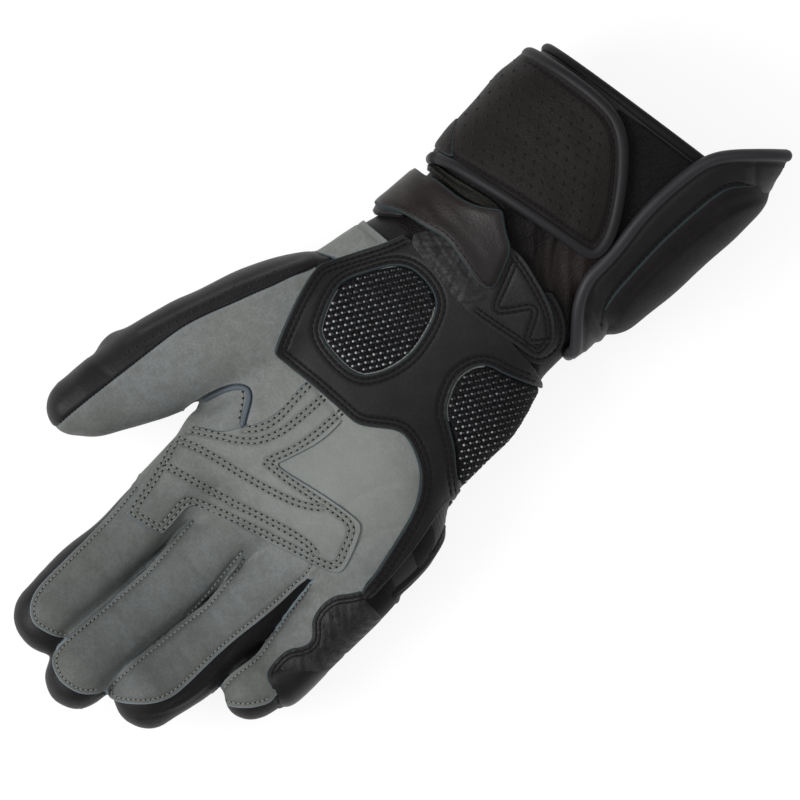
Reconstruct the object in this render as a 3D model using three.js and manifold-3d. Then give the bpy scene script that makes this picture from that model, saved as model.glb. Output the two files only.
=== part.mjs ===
// Motorcycle gauntlet glove for the right hand, in millimetres, lying on its back.
// +Z is up, out of the palm. +Y runs from the fingers to the cuff, and the thumb is on the -X side.
// The origin is on the floor, under the middle of the whole glove.
// The leather is a hollow form: a long tube for cuff, wrist and palm, joined with five finger tubes.
// Every panel is a layer of that form, a lowest and a highest distance from its skin, cut to an outline.
import * as THREE from 'three';
import { mergeVertices } from 'three/addons/utils/BufferGeometryUtils.js';
import Module from 'manifold-3d';

const wasm = await Module();
wasm.setup();

// Driving sizes
const LEATHER = 2.0;            // thickness of the base leather wall
const PATCH = 1.4;              // thickness of a sewn-on leather patch
const INSERT = 1.0;             // thickness of the textured grip inserts
const PADDED = 3.0;             // thickness of the padded cuff flap and of the strap
const WING = 2.5;               // thickness of the flared wing panel
const GUARD = 4.0;              // thickness of the raised guard on the wing
const PIPING = 2.3;             // radius of the piping and of the rim binding
const GAP = 0.3;                // clearance between neighbouring pieces
const FLOOR_WALL = 2.0;         // wall left where the back is flattened on the floor
const HIGH = 120;               // well above the glove
const FAR = 240;                // well outside the glove
const TUBE_SIDES = 12;          // facets round a finger
const PALM_SIDES = 18;          // facets round palm and cuff
const PIPE_SIDES = 6;           // facets round the piping and the binding
const RIM_POINTS = 20;          // points that the binding's path is drawn through
const RIM_STEPS = 26;           // lengths that the binding is made of
const ROUNDNESS = 2.3;          // superellipse power of the sections, 2 is an ellipse
const NARROWEST = 0.6;          // least half width of a finger's section
const SHARPEST = 0.4;           // least cosine at a corner, which limits how far its inset point moves

// The tables below are drawn about a point in the palm, and this is the glove's middle from there
const MIDDLE = { x: 1.9, y: -1.1 };

// How far above the skin each layer starts
const LAYER = {
  patch: GAP,
  landing: GAP + PATCH + GAP,
  strap: GAP + PATCH + GAP + PATCH + GAP,
  flap: GAP + INSERT + GAP,
  guard: GAP + INSERT + GAP + WING + GAP,
};

// Cuff, wrist and palm: the left and right side, the lowest and the highest point at each y
const PALM = [
  { y: -72, left: -30, right: 72.5, low: 6, high: 32 },
  { y: -54, left: -35.5, right: 73, low: 0, high: 39 },
  { y: -34, left: -41, right: 71, low: -1.5, high: 42 },
  { y: -6, left: -48, right: 57, low: -2, high: 44.5 },
  { y: 22, left: -46.5, right: 54.5, low: -2, high: 46 },
  { y: 46, left: -42.5, right: 46, low: -2, high: 47 },
  { y: 68, left: -43.5, right: 45.5, low: -2, high: 49.5 },
  { y: 96, left: -48, right: 47, low: -2, high: 54.5 },
  { y: 126, left: -50, right: 46.8, low: -2, high: 58 },
  { y: 185, left: -48, right: 44, low: -2, high: 60 },
];

// Fingers and thumb: the centre line with the half width and half depth of its section
const DIGITS = {
  thumb: [
    { x: -29, y: 20, z: 23, wide: 12, deep: 16 },
    { x: -41, y: -14, z: 24.5, wide: 19.3, deep: 18.5 },
    { x: -49, y: -42, z: 25.5, wide: 19, deep: 16.3 },
    { x: -54.5, y: -62, z: 26, wide: 18.2, deep: 15 },
    { x: -59.5, y: -81, z: 27, wide: 15.3, deep: 13.3 },
    { x: -63.3, y: -95, z: 27.5, wide: 11.2, deep: 11 },
    { x: -66.4, y: -105.8, z: 28.3, wide: 4.2, deep: 4.6 },
  ],
  index: [
    { x: -17, y: -56, z: 18.5, wide: 13.5, deep: 13.5 },
    { x: -14.5, y: -90, z: 16.7, wide: 13.1, deep: 12.3 },
    { x: -12.4, y: -122, z: 17.7, wide: 12.8, deep: 12 },
    { x: -11.3, y: -145, z: 22.5, wide: 12, deep: 11.2 },
    { x: -9.7, y: -160, z: 28, wide: 9.3, deep: 9 },
    { x: -8.2, y: -168.6, z: 31.5, wide: 4.2, deep: 4.2 },
  ],
  middle: [
    { x: 8, y: -56, z: 19, wide: 13, deep: 13.5 },
    { x: 12, y: -90, z: 17, wide: 12, deep: 12.2 },
    { x: 13, y: -122, z: 17.2, wide: 11.6, deep: 12 },
    { x: 13.7, y: -148, z: 22.3, wide: 11.5, deep: 11.4 },
    { x: 15.1, y: -165, z: 28.6, wide: 9.5, deep: 9.2 },
    { x: 16.1, y: -174.4, z: 32.5, wide: 4.4, deep: 4.4 },
  ],
  ring: [
    { x: 33.5, y: -56, z: 19, wide: 13.5, deep: 13.5 },
    { x: 37.6, y: -88, z: 17.2, wide: 12.6, deep: 12.3 },
    { x: 40.2, y: -116, z: 18, wide: 13.2, deep: 12 },
    { x: 39.5, y: -136, z: 22, wide: 13, deep: 11.6 },
    { x: 37.7, y: -151, z: 27, wide: 10.3, deep: 9.8 },
    { x: 35.7, y: -160, z: 30.5, wide: 4.6, deep: 4.6 },
  ],
  little: [
    { x: 59, y: -54, z: 19, wide: 13.5, deep: 13.5 },
    { x: 62.5, y: -80, z: 17.8, wide: 13, deep: 12 },
    { x: 65.2, y: -101, z: 18.4, wide: 11.5, deep: 11 },
    { x: 65.2, y: -114, z: 21, wide: 9.6, deep: 9.4 },
    { x: 62.6, y: -127, z: 25.6, wide: 4, deep: 4 },
  ],
};

// Height of the seam between palm side and back along each finger, up over the tip at its end
const SEAMS = {
  index: [[-50, 18], [-100, 16.5], [-120, 17.5], [-138, 20.5], [-151, 26], [-159, 31], [-162.5, 38]],
  middle: [[-50, 19], [-100, 16.5], [-120, 17], [-140, 20], [-156, 26], [-165, 31.5], [-169, 39]],
  ring: [[-50, 19], [-98, 17], [-115, 18], [-130, 20.5], [-143, 25], [-154, 30], [-159.5, 36]],
  little: [[-45, 19], [-88, 17.5], [-102, 18.5], [-112, 21.5], [-120, 26], [-126.5, 33]],
};
const PALM_SEAM = 19;           // height of the side seam of the palm
const CUFF_SEAM = 22;           // height of the side seam of wrist and cuff
const THUMB_SEAM = 15;          // height of the seam at the back of the thumb
const OVERLAY_LOW = 25;         // lowest height of the grey palm overlay
const GUARD_LOW = 14;           // lowest height of the guard on the wing
const GUSSET_TOP = 42;          // height that the folded gusset reaches beside the flap
const FRONT_END = 44;           // y where palm leather and wrist leather meet
const WRIST_END = 90;           // y where wrist leather and cuff meet
const KNUCKLES = -66;           // y where the finger tubes leave the palm

// Valleys between neighbouring fingers, seen from above
const VALLEYS = {
  thumb_index: [[-34.5, KNUCKLES], [-36.5, -76], [-46, -100], [-46, -FAR]],
  index_middle: [[-4, KNUCKLES], [-2.3, -92], [0.6, -110], [1.2, -FAR]],
  middle_ring: [[20, KNUCKLES], [22.3, -85], [25.8, -105], [26, -FAR]],
  ring_little: [[46, KNUCKLES], [49, -85], [53.6, -105], [54.2, -FAR]],
  outside: [[FAR, KNUCKLES], [FAR, -FAR]],
};
const FINGERS = [
  { name: 'index', left: 'thumb_index', right: 'index_middle' },
  { name: 'middle', left: 'index_middle', right: 'middle_ring' },
  { name: 'ring', left: 'middle_ring', right: 'ring_little' },
  { name: 'little', left: 'ring_little', right: 'outside' },
];
const RING_SIDE = 44.5;         // x of the seam where the black side of the ring finger starts

// Seams of the thumb, seen from above: round its base, and along the black strip on its side
const THUMB_BASE = [
  [-FAR, 16], [-43.5, 14], [-40, -1], [-35, -12], [-29, -24], [-26, -38], [-30, -46], [-34.5, -57],
];
const THUMB_STRIP = [
  [-40, 16], [-44, 6], [-49, -8], [-54, -25], [-59.5, -42], [-61.5, -70], [-62.5, -90], [-63, -112],
];

// Rim of the cuff: a slanting line seen from above, longest on the little finger's side
const RIM_Y = 144.6;            // y of the rim at x = 0
const RIM_SLOPE = 0.2126;       // how much further it reaches for each millimetre of x

// Outlines of the sewn-on panels, seen from above
const HEEL_PATCH = [
  [-30, 46], [-33, 36], [-38, 25], [-43, 12.5], [-40, -1], [-34.5, -12], [-29, -24.5], [-22, -23.5],
  [0, -20.3], [12, -18.8], [18, -14], [24, -8.2], [30, -7.3], [40, -10.5], [50, -20], [56, -35],
  [61, -52], [62, -60], [FAR, -60], [FAR, 46],
];
const HEEL_WINDOW = [
  [-22, 35], [-6, 36], [-1, 32], [3, 20], [4, 12], [2, 2], [-2, -5], [-21, -5], [-25, 0], [-30, 9],
  [-30, 15], [-27, 22], [-23, 32],
];
const SIDE_WINDOW = [
  [24.5, 24], [26, 30], [29, 33], [35, 35.5], [44, 40.5], [53, 45.5], [FAR, 45.5], [FAR, -10],
  [57, -4], [50, 0.5], [45, 5], [38, 8.5], [32, 11], [28, 17],
];
const PALM_OVERLAY = [
  [-14, -24.3], [7, -20.8], [8, -30], [6.5, -40], [2.5, -52], [10, -51], [25, -46], [42, -42.5],
  [50, -55], [51.5, -60], [45, -65], [40, -68], [20, -76], [5, -81], [-4, -85], [-6, -88],
  [-5.5, -102], [-8, -105], [-17, -108], [-20, -104], [-24, -90], [-30, -74], [-33, -60], [-18, -54],
  [-13, -46],
];
const LITTLE_OVERLAY = [
  [62.5, -60.5], [57, -68], [55.8, -75], [58, -82], [63.2, -86], [60.5, -95], [60.2, -101],
  [63, -108.5], [70, -111.5], [71, -114], [FAR, -114], [FAR, -60.5],
];
const WRIST_PANEL = [[-60, 33.5], [-34, 35.5], [-39, 25], [-43.8, 15.5], [-60, 17.5]];
const LANDING = [
  [-29, 48], [-25, 42], [0, 41.5], [10, 42.5], [25, 46.5], [38, 49.5], [39.5, 55], [38, 60],
  [28, 66.5], [15, 70], [3, 71], [-12, 66],
];
const UNDER_PAD = [[20, 72], [24, 47], [40, 47.5], [43, 53], [43, 60], [38, 66.5]];
const STRAP = [
  [-70, 43], [-42, 47], [-28, 51], [-17, 54], [0, 52], [5, 52.5], [7, 55], [3, 65], [0, 70], [-6, 72],
  [-13, 76.5], [-22, 70], [-35, 66.5], [-48, 63], [-70, 61],
];
const LOOP_TAPE = [[0, 101], [24, 99], [22.5, 143.5], [3, 139.5]];
const FLAP_EDGE = [
  [-50, 125], [-40, 128.6], [-27, 131.2], [-12, 132.4], [-3, 129.6], [8, 120], [17, 109], [22.3, 99.5],
  [20.5, 93.2], [10, 90], [-6, 86], [-24, 81], [-44, 75],
];
const GUSSET = [[-70, 91], [-50.5, 89], [-47.5, 84], [-45.5, 78.5], [-47, 74], [-70, 73]];
const WING_EDGE = [
  [42.5, 172.3], [35.5, 164.5], [27.5, 155], [23.6, 146], [23.1, 130], [24.6, 114], [28, 100],
  [28.3, 91], [30.5, 81.5], [36, 73.5], [42, 67.5], [46.5, 63],
];
const WING_CORNERS = [[70, 44], [FAR, 44], [FAR, 200], [66, 200]];
const WING_TOP = [[0, 62], [FAR, 62], [FAR, 138], [54, 146], [51, 158], [47.5, 168], [45, 173], [0, 173]];
const WING_PROFILE = [[40, 10], [144, 10], [150, 24], [158, 44], [178, 56], [178, HIGH], [40, HIGH]];
const GUARD_OUTLINE = [
  [FAR, 78], [46, 78.5], [42, 85], [40, 93], [38, 108], [37.2, 120], [37.2, 140], [39, 149],
  [42, 152], [48, 154], [FAR, 150],
];

// Colours, roughness and metalness
const GREY_LEATHER = new THREE.MeshStandardMaterial({ color: 0x73786f, roughness: 0.62, metalness: 0 });
const BLACK_LEATHER = new THREE.MeshStandardMaterial({ color: 0x242121, roughness: 0.5, metalness: 0 });
const BLACK_PIPING = new THREE.MeshStandardMaterial({ color: 0x323136, roughness: 0.55, metalness: 0 });
const GRIP_FABRIC = new THREE.MeshStandardMaterial({ color: 0x2a2b2d, roughness: 0.9, metalness: 0 });
const LOOP_FABRIC = new THREE.MeshStandardMaterial({ color: 0x1c1c1e, roughness: 0.95, metalness: 0 });

// A geometry's triangles as a solid, and a solid as a geometry
function solid(geometry) {
  geometry.deleteAttribute('normal');
  geometry.deleteAttribute('uv');
  const merged = mergeVertices(geometry, 1e-4);
  const mesh = new wasm.Mesh({
    numProp: 3,
    vertProperties: new Float32Array(merged.attributes.position.array),
    triVerts: new Uint32Array(merged.index.array),
  });
  return new wasm.Manifold(mesh);
}

function geometryOf(manifold) {
  const mesh = manifold.getMesh();
  const geometry = new THREE.BufferGeometry();
  geometry.setAttribute('position', new THREE.BufferAttribute(mesh.vertProperties, 3));
  geometry.setIndex(new THREE.BufferAttribute(mesh.triVerts, 1));
  const flat = geometry.toNonIndexed();
  flat.computeVertexNormals();
  return flat;
}

// Rings of points joined into a closed skin, each end closed by a fan round its middle
function skin(rings) {
  const sides = rings[0].length;
  const points = rings.flat();
  const ends = [rings[0], rings[rings.length - 1]].map((ring) => {
    const middle = new THREE.Vector3();
    ring.forEach((point) => middle.add(point));
    return middle.divideScalar(sides);
  });
  const faces = [];
  for (let i = 0; i + 1 < rings.length; i += 1) {
    for (let j = 0; j < sides; j += 1) {
      const a = i * sides + j;
      const b = i * sides + ((j + 1) % sides);
      faces.push([a, b, b + sides], [a, b + sides, a + sides]);
    }
  }
  const first = points.length;
  const last = (rings.length - 1) * sides;
  for (let j = 0; j < sides; j += 1) {
    const next = (j + 1) % sides;
    faces.push([next, j, first], [last + j, last + next, first + 1]);
  }
  const geometry = new THREE.BufferGeometry();
  geometry.setFromPoints([...points, ...ends]);
  geometry.setIndex(faces.flat());
  const made = solid(geometry.toNonIndexed());
  if (made.volume() > 0) return made;
  geometry.setIndex(faces.map((face) => [face[1], face[0], face[2]]).flat());
  return solid(geometry.toNonIndexed());
}

// A point of a superellipse, as multiples of its two half axes
function rounded(angle) {
  const c = Math.cos(angle);
  const s = Math.sin(angle);
  const power = 2 / ROUNDNESS;
  return [Math.sign(c) * Math.abs(c) ** power, Math.sign(s) * Math.abs(s) ** power];
}

// The section of cuff, wrist and palm at any y, between the rows of the table
function palmSection(y) {
  const last = PALM.length - 2;
  const found = PALM.findIndex((row, i) => i <= last && y < PALM[i + 1].y);
  const at = found < 0 ? last : found;
  const t = (y - PALM[at].y) / (PALM[at + 1].y - PALM[at].y);
  const mix = (key) => PALM[at][key] + t * (PALM[at + 1][key] - PALM[at][key]);
  return {
    x: (mix('left') + mix('right')) / 2,
    z: (mix('low') + mix('high')) / 2,
    wide: (mix('right') - mix('left')) / 2,
    deep: (mix('high') - mix('low')) / 2,
  };
}

function palmTube(offset) {
  const rings = PALM.map((row, i) => {
    const s = palmSection(row.y);
    const y = row.y - (i === 0 ? offset : 0);
    return Array.from({ length: PALM_SIDES }, (_, k) => {
      const [u, v] = rounded((2 * Math.PI * k) / PALM_SIDES);
      return new THREE.Vector3(s.x + u * (s.wide + offset), y, s.z + v * (s.deep + offset));
    });
  });
  return skin(rings);
}

function digitTube(rows, offset) {
  const centres = rows.map((row) => new THREE.Vector3(row.x, row.y, row.z));
  const up = new THREE.Vector3(0, 0, 1);
  const rings = rows.map((row, i) => {
    const before = centres[Math.max(i - 1, 0)];
    const after = centres[Math.min(i + 1, rows.length - 1)];
    const along = after.clone().sub(before).normalize();
    const across = new THREE.Vector3().crossVectors(along, up).normalize();
    const outward = new THREE.Vector3().crossVectors(across, along).normalize();
    const tip = i === rows.length - 1 ? offset : 0;
    const wide = Math.max(row.wide + offset, NARROWEST);
    const deep = Math.max(row.deep + offset, NARROWEST);
    return Array.from({ length: TUBE_SIDES }, (_, k) => {
      const [u, v] = rounded((2 * Math.PI * k) / TUBE_SIDES);
      return centres[i].clone()
        .addScaledVector(across, u * wide)
        .addScaledVector(outward, v * deep)
        .addScaledVector(along, tip);
    });
  });
  return skin(rings);
}

// A wall raised from an outline seen from above, between two heights
function raised(outline, low = PALM_SEAM + GAP, high = HIGH) {
  const shape = new THREE.Shape(outline.map(([x, y]) => new THREE.Vector2(x, y)));
  const geometry = new THREE.ExtrudeGeometry(shape, { depth: high - low, bevelEnabled: false });
  geometry.translate(0, 0, low);
  return solid(geometry);
}

// An outline moved inwards by an amount, whichever way round its points run
function inset(outline, amount) {
  const points = outline.map(([x, y]) => new THREE.Vector2(x, y));
  const turn = THREE.ShapeUtils.isClockWise(points) ? 1 : -1;
  return points.map((point, i) => {
    const before = points[(i + points.length - 1) % points.length];
    const after = points[(i + 1) % points.length];
    const one = point.clone().sub(before).normalize();
    const two = after.clone().sub(point).normalize();
    const inward = new THREE.Vector2(one.y + two.y, -one.x - two.x).multiplyScalar(turn).normalize();
    const lean = Math.max(Math.abs(inward.x * one.y - inward.y * one.x), SHARPEST);
    return [point.x + (inward.x * amount) / lean, point.y + (inward.y * amount) / lean];
  });
}

// A wall across the whole glove from an outline seen from the side, in y and z
function across(outline) {
  const shape = new THREE.Shape(outline.map(([y, z]) => new THREE.Vector2(y, z)));
  const geometry = new THREE.ExtrudeGeometry(shape, { depth: 2 * FAR, bevelEnabled: false });
  geometry.translate(0, 0, -FAR);
  geometry.applyMatrix4(new THREE.Matrix4().makeBasis(
    new THREE.Vector3(0, 1, 0),
    new THREE.Vector3(0, 0, 1),
    new THREE.Vector3(1, 0, 0),
  ));
  return solid(geometry);
}

// The whole form with its skin moved out by an offset, standing on a floor
const madeForms = new Map();
function form(offset) {
  if (!madeForms.has(offset)) {
    const floor = offset < 0 ? FLOOR_WALL : 0;
    let whole = palmTube(offset);
    Object.values(DIGITS).forEach((rows) => {
      whole = whole.add(digitTube(rows, offset));
    });
    const everywhere = [[-FAR, -FAR], [FAR, -FAR], [FAR, FAR], [-FAR, FAR]];
    madeForms.set(offset, whole.intersect(raised(everywhere, floor)));
  }
  return madeForms.get(offset);
}

const layer = (low, thick) => form(low + thick).subtract(form(low));
const wall = form(0).subtract(form(-LEATHER));

// Parts of the plan and of the side view
const rimAt = (x, inset) => RIM_Y + RIM_SLOPE * x - inset;
const slabBetween = (y0, y1, low, high) => raised([[-FAR, y0], [FAR, y0], [FAR, y1], [-FAR, y1]], low, high);
const beforeRim = (y0, inset, low, high) => raised(
  [[-HIGH, y0], [HIGH, y0], [HIGH, rimAt(HIGH, inset)], [-HIGH, rimAt(-HIGH, inset)]],
  low,
  high,
);
const shifted = (line, dx, dy = 0) => line.map(([x, y]) => [x + dx, y + dy]);
const thumbZone = (gap, low, high) => raised([
  ...shifted(THUMB_BASE, -gap, -gap),
  ...shifted(VALLEYS.thumb_index, -gap),
  [-FAR, -FAR],
], low, high);

function fingerZone(finger, low = -1, high = HIGH) {
  const left = shifted(VALLEYS[finger.left], GAP / 2);
  const right = shifted(VALLEYS[finger.right], -GAP / 2);
  return raised([...left, ...right.reverse()], low, high);
}

function fingerSide(name, isFront) {
  const seam = SEAMS[name];
  const end = seam[seam.length - 1];
  if (isFront) return across([[seam[0][0], HIGH], ...seam, [end[0], HIGH]]);
  const lower = seam.map(([y, z]) => [y - GAP * (z > end[1] - 1 ? 1 : 0), z - GAP]);
  return across([[seam[0][0], -HIGH], ...lower, [end[0] - GAP, HIGH], [-FAR, HIGH], [-FAR, -HIGH]]);
}

// Piping: a round tube along an edge seen from above, laid on the skin at a distance from it
function skinHeight(x, y, offset) {
  const s = palmSection(y);
  const u = Math.min(Math.abs(x - s.x) / (s.wide + offset), 0.999);
  return s.z + (s.deep + offset) * (1 - u ** ROUNDNESS) ** (1 / ROUNDNESS);
}

function tubeAlong(points, radius, steps, closed = false) {
  const path = new THREE.CatmullRomCurve3(points, closed);
  const section = new THREE.Shape();
  for (let k = 0; k < PIPE_SIDES; k += 1) {
    const angle = (2 * Math.PI * k) / PIPE_SIDES;
    section[k === 0 ? 'moveTo' : 'lineTo'](radius * Math.cos(angle), radius * Math.sin(angle));
  }
  section.closePath();
  return solid(new THREE.ExtrudeGeometry(section, { steps, extrudePath: path, bevelEnabled: false }));
}

function piping(edge, offset, radius) {
  const points = edge.map(([x, y]) => new THREE.Vector3(x, y, skinHeight(x, y, offset)));
  return tubeAlong(points, radius, 2 * (edge.length - 1));
}

// The binding follows the rim all the way round, resting on the floor below
function bindingPath() {
  return Array.from({ length: RIM_POINTS }, (_, k) => {
    const [u, v] = rounded((2 * Math.PI * k) / RIM_POINTS);
    const middle = palmSection(RIM_Y);
    const y = rimAt(middle.x + u * middle.wide, PIPING);
    const s = palmSection(y);
    const x = s.x + u * (s.wide - LEATHER / 2 - GAP);
    const z = Math.max(s.z + v * (s.deep - LEATHER / 2 - GAP), PIPING + GAP);
    return new THREE.Vector3(x, y, z);
  });
}

const glove = new THREE.Group();
glove.position.set(-MIDDLE.x, -MIDDLE.y, 0);
function addPiece(name, manifold, material) {
  const mesh = new THREE.Mesh(geometryOf(manifold), material);
  mesh.name = name;
  glove.add(mesh);
}

// Palm, back of the hand and thumb
const aroundPalm = slabBetween(KNUCKLES + GAP, FRONT_END, PALM_SEAM + GAP, HIGH);
const behindPalm = slabBetween(KNUCKLES + GAP, FRONT_END, -1, PALM_SEAM);
const thumbPlace = thumbZone(GAP, -1, HIGH);
addPiece('palm_leather', wall.intersect(aroundPalm).subtract(thumbZone(0, -1, HIGH)), GREY_LEATHER);
addPiece('hand_back', wall.intersect(behindPalm).subtract(thumbZone(0, -1, HIGH)), BLACK_LEATHER);

const [stripX] = THUMB_STRIP[0];
const [, stripY] = THUMB_STRIP[THUMB_STRIP.length - 1];
const rightOfStrip = raised([...THUMB_STRIP, [FAR, stripY], [FAR, FAR], [stripX, FAR]], THUMB_SEAM + GAP);
const leftOfStrip = raised(
  [...shifted(THUMB_STRIP, -GAP), [-FAR, stripY], [-FAR, FAR], [stripX - GAP, FAR]],
  THUMB_SEAM + GAP,
);
const thumbWall = wall.intersect(thumbPlace);
addPiece('thumb_front', thumbWall.intersect(rightOfStrip), GREY_LEATHER);
addPiece('thumb_side', thumbWall.intersect(leftOfStrip), BLACK_LEATHER);
addPiece('thumb_back', thumbWall.intersect(slabBetween(-FAR, FAR, -1, THUMB_SEAM)), BLACK_LEATHER);

// Fingers: grey front, black back, and the black side that shows on the ring finger
FINGERS.forEach((finger) => {
  const zone = wall.intersect(fingerZone(finger));
  const front = zone.intersect(fingerSide(finger.name, true));
  const back = zone.intersect(fingerSide(finger.name, false));
  if (finger.name === 'ring') {
    const outer = raised([[RING_SIDE, -FAR], [FAR, -FAR], [FAR, 0], [RING_SIDE, 0]], -1);
    const grown = raised([[RING_SIDE - GAP, -FAR], [FAR, -FAR], [FAR, 0], [RING_SIDE - GAP, 0]], -1);
    addPiece('ring_front', front.subtract(grown), GREY_LEATHER);
    addPiece('ring_side', front.intersect(outer), BLACK_LEATHER);
  } else {
    addPiece(`${finger.name}_front`, front, GREY_LEATHER);
  }
  addPiece(`${finger.name}_back`, back, BLACK_LEATHER);
});

// Patches sewn on the palm
const patch = layer(LAYER.patch, PATCH);
const insert = layer(LAYER.patch, INSERT);
const windows = raised(HEEL_WINDOW).add(raised(SIDE_WINDOW));
const heelPlace = raised(HEEL_PATCH).subtract(windows);
addPiece('heel_patch', patch.intersect(heelPlace), BLACK_LEATHER);
addPiece('heel_insert', insert.intersect(raised(inset(HEEL_WINDOW, GAP))), GRIP_FABRIC);
addPiece('side_insert', insert.intersect(raised(inset(SIDE_WINDOW, GAP))), GRIP_FABRIC);
addPiece('palm_overlay', patch.intersect(raised(PALM_OVERLAY, OVERLAY_LOW)), GREY_LEATHER);
addPiece('little_overlay', patch.intersect(raised(LITTLE_OVERLAY)), BLACK_LEATHER);
addPiece('wrist_panel', patch.intersect(raised(WRIST_PANEL)), GREY_LEATHER);

// Wrist and cuff walls, the rim binding and the tape
const wristPlace = slabBetween(FRONT_END + GAP, WRIST_END, CUFF_SEAM + GAP, HIGH);
const cuffPlace = beforeRim(WRIST_END + GAP, 2 * PIPING + GAP, CUFF_SEAM + GAP, HIGH);
const backPlace = beforeRim(FRONT_END + GAP, 2 * PIPING + GAP, -1, CUFF_SEAM);
addPiece('wrist_front', wall.intersect(wristPlace), BLACK_LEATHER);
addPiece('cuff_front', wall.intersect(cuffPlace), BLACK_LEATHER);
addPiece('cuff_back', wall.intersect(backPlace), BLACK_LEATHER);
addPiece('cuff_binding', tubeAlong(bindingPath(), PIPING, RIM_STEPS, true), BLACK_PIPING);
addPiece('cuff_loop', insert.intersect(raised(LOOP_TAPE, CUFF_SEAM + GAP)), LOOP_FABRIC);

// Cuff flap with its piping, and the folded gusset beside it
const pipingLift = LAYER.flap + PIPING;
const pipingRoom = PIPING + 2 * GAP;
const flapSide = [[-46.5, 78], [-48.5, 84], [-51.5, 90], [-FAR, 92.5], [-FAR, 123]];
const flapOutline = inset([...FLAP_EDGE, ...flapSide], pipingRoom);
const flapPlace = raised(flapOutline, CUFF_SEAM + GAP);
addPiece('cuff_flap', layer(LAYER.flap, PADDED).intersect(flapPlace), BLACK_LEATHER);
addPiece('flap_piping', piping(FLAP_EDGE, pipingLift, PIPING), BLACK_PIPING);
const fold = layer(LAYER.patch, PADDED);
addPiece('cuff_gusset', fold.intersect(raised(GUSSET, CUFF_SEAM + GAP, GUSSET_TOP)), BLACK_LEATHER);

// Flared wing with its piping and the raised guard
const wingOutline = inset([...WING_EDGE, ...WING_CORNERS], pipingRoom);
const wingPlace = raised(wingOutline, 0).intersect(raised(WING_TOP, 0)).intersect(across(WING_PROFILE));
addPiece('cuff_wing', layer(LAYER.flap, WING).intersect(wingPlace), BLACK_LEATHER);
addPiece('wing_piping', piping(WING_EDGE, pipingLift, PIPING), BLACK_PIPING);
const guardPlace = raised(GUARD_OUTLINE, GUARD_LOW);
addPiece('wing_guard', layer(LAYER.guard, GUARD).intersect(guardPlace), BLACK_LEATHER);

// Wrist strap and the pads that it closes on
addPiece('strap_under_pad', patch.intersect(raised(UNDER_PAD)), BLACK_LEATHER);
addPiece('strap_landing', layer(LAYER.landing, PATCH).intersect(raised(LANDING)), BLACK_LEATHER);
addPiece('wrist_strap', layer(LAYER.strap, PADDED).intersect(raised(STRAP)), BLACK_LEATHER);

export default glove;
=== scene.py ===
# Looks of a motorcycle gauntlet glove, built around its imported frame.
# Shapes are worked out in millimetres about a point in the palm, seen from above the palm:
# +X towards the little finger, +Y towards the cuff, +Z up out of the palm.
# A "skin" is made first, lofted from the same sections as the part, and every panel is a piece of that
# skin, cut to an outline and raised between two heights above it.

import math

import bpy
import numpy as np
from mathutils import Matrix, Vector
from mathutils.bvhtree import BVHTree


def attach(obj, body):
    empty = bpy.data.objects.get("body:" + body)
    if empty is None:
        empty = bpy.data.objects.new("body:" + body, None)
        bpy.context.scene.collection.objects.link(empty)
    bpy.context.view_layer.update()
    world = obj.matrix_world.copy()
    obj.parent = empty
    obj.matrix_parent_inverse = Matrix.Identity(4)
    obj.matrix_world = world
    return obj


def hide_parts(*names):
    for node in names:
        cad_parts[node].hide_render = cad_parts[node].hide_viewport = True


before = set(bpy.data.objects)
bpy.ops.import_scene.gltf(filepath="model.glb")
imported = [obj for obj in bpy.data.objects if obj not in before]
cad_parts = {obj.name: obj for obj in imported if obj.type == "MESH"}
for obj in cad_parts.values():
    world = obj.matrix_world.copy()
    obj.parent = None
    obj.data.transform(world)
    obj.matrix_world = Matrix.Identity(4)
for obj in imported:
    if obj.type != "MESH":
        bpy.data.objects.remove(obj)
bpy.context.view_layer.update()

MM = 0.001
MIDDLE = np.array([1.9, -1.1, 0.0])     # the glove's middle in the plan, where the frame has its origin
FAR = 240.0                             # well outside the glove

# Sizes in millimetres
VOXEL = 0.95                            # cell of the remeshed skin
SLIM = 0.2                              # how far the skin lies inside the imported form
ROUNDNESS = 2.3                         # superellipse power of the sections
SHELL = 1.7                             # thickness of the black leather
BASE = 0.25                             # height of the black leather above the skin
FRONT_LOW, FRONT_HIGH = 0.3, 1.35       # grey leather, laid over the black
PATCH_LOW, PATCH_HIGH = 1.4, 2.5        # patches sewn over the grey leather
GRIP_LOW, GRIP_HIGH = PATCH_LOW - 0.7, PATCH_LOW + 0.55     # grip fabric in the heel patch's windows
THINNEST = 0.3                          # least thickness of a panel
PIPE = 2.45                             # radius of the piping
CORD = 1.1                              # radius of the cords
PALM_SEAM = 19.0                        # height of the palm's side seam
CUFF_SEAM = 22.0                        # height of the cuff's side seam
KNUCKLES = -66.0                        # y where the fingers leave the palm
PALM_END = 44.0                         # y where palm and wrist meet
WRIST_END = 90.0                        # y where wrist and cuff meet
RIM_Y, RIM_SLOPE = 144.6, 0.2126        # the cuff's rim at x = 0 and its slant
PITCH = 2.5                             # length of a stitch with its hole
DOUBLE_ROW = (0.95, -0.95)              # the two rows of a double row, beside its middle line
HEEL_INSETS = (-1.9, -3.7)              # the rows beside the heel patch's outer edge
WINDOW_INSETS = (-1.6, -3.5)            # the rows beside its windows
FINGER_INSET = -1.5                     # the row beside the edge of a finger's front
ROW_REACH = 6.0                         # how far from a row its distance is worked out
WORN = 0.35                             # how worn a panel's edge is
TABLE = 0.02                            # lowest point of the leather, over the table
DROP_HEIGHT = 150.0                     # height from which things are dropped on the panels

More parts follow.
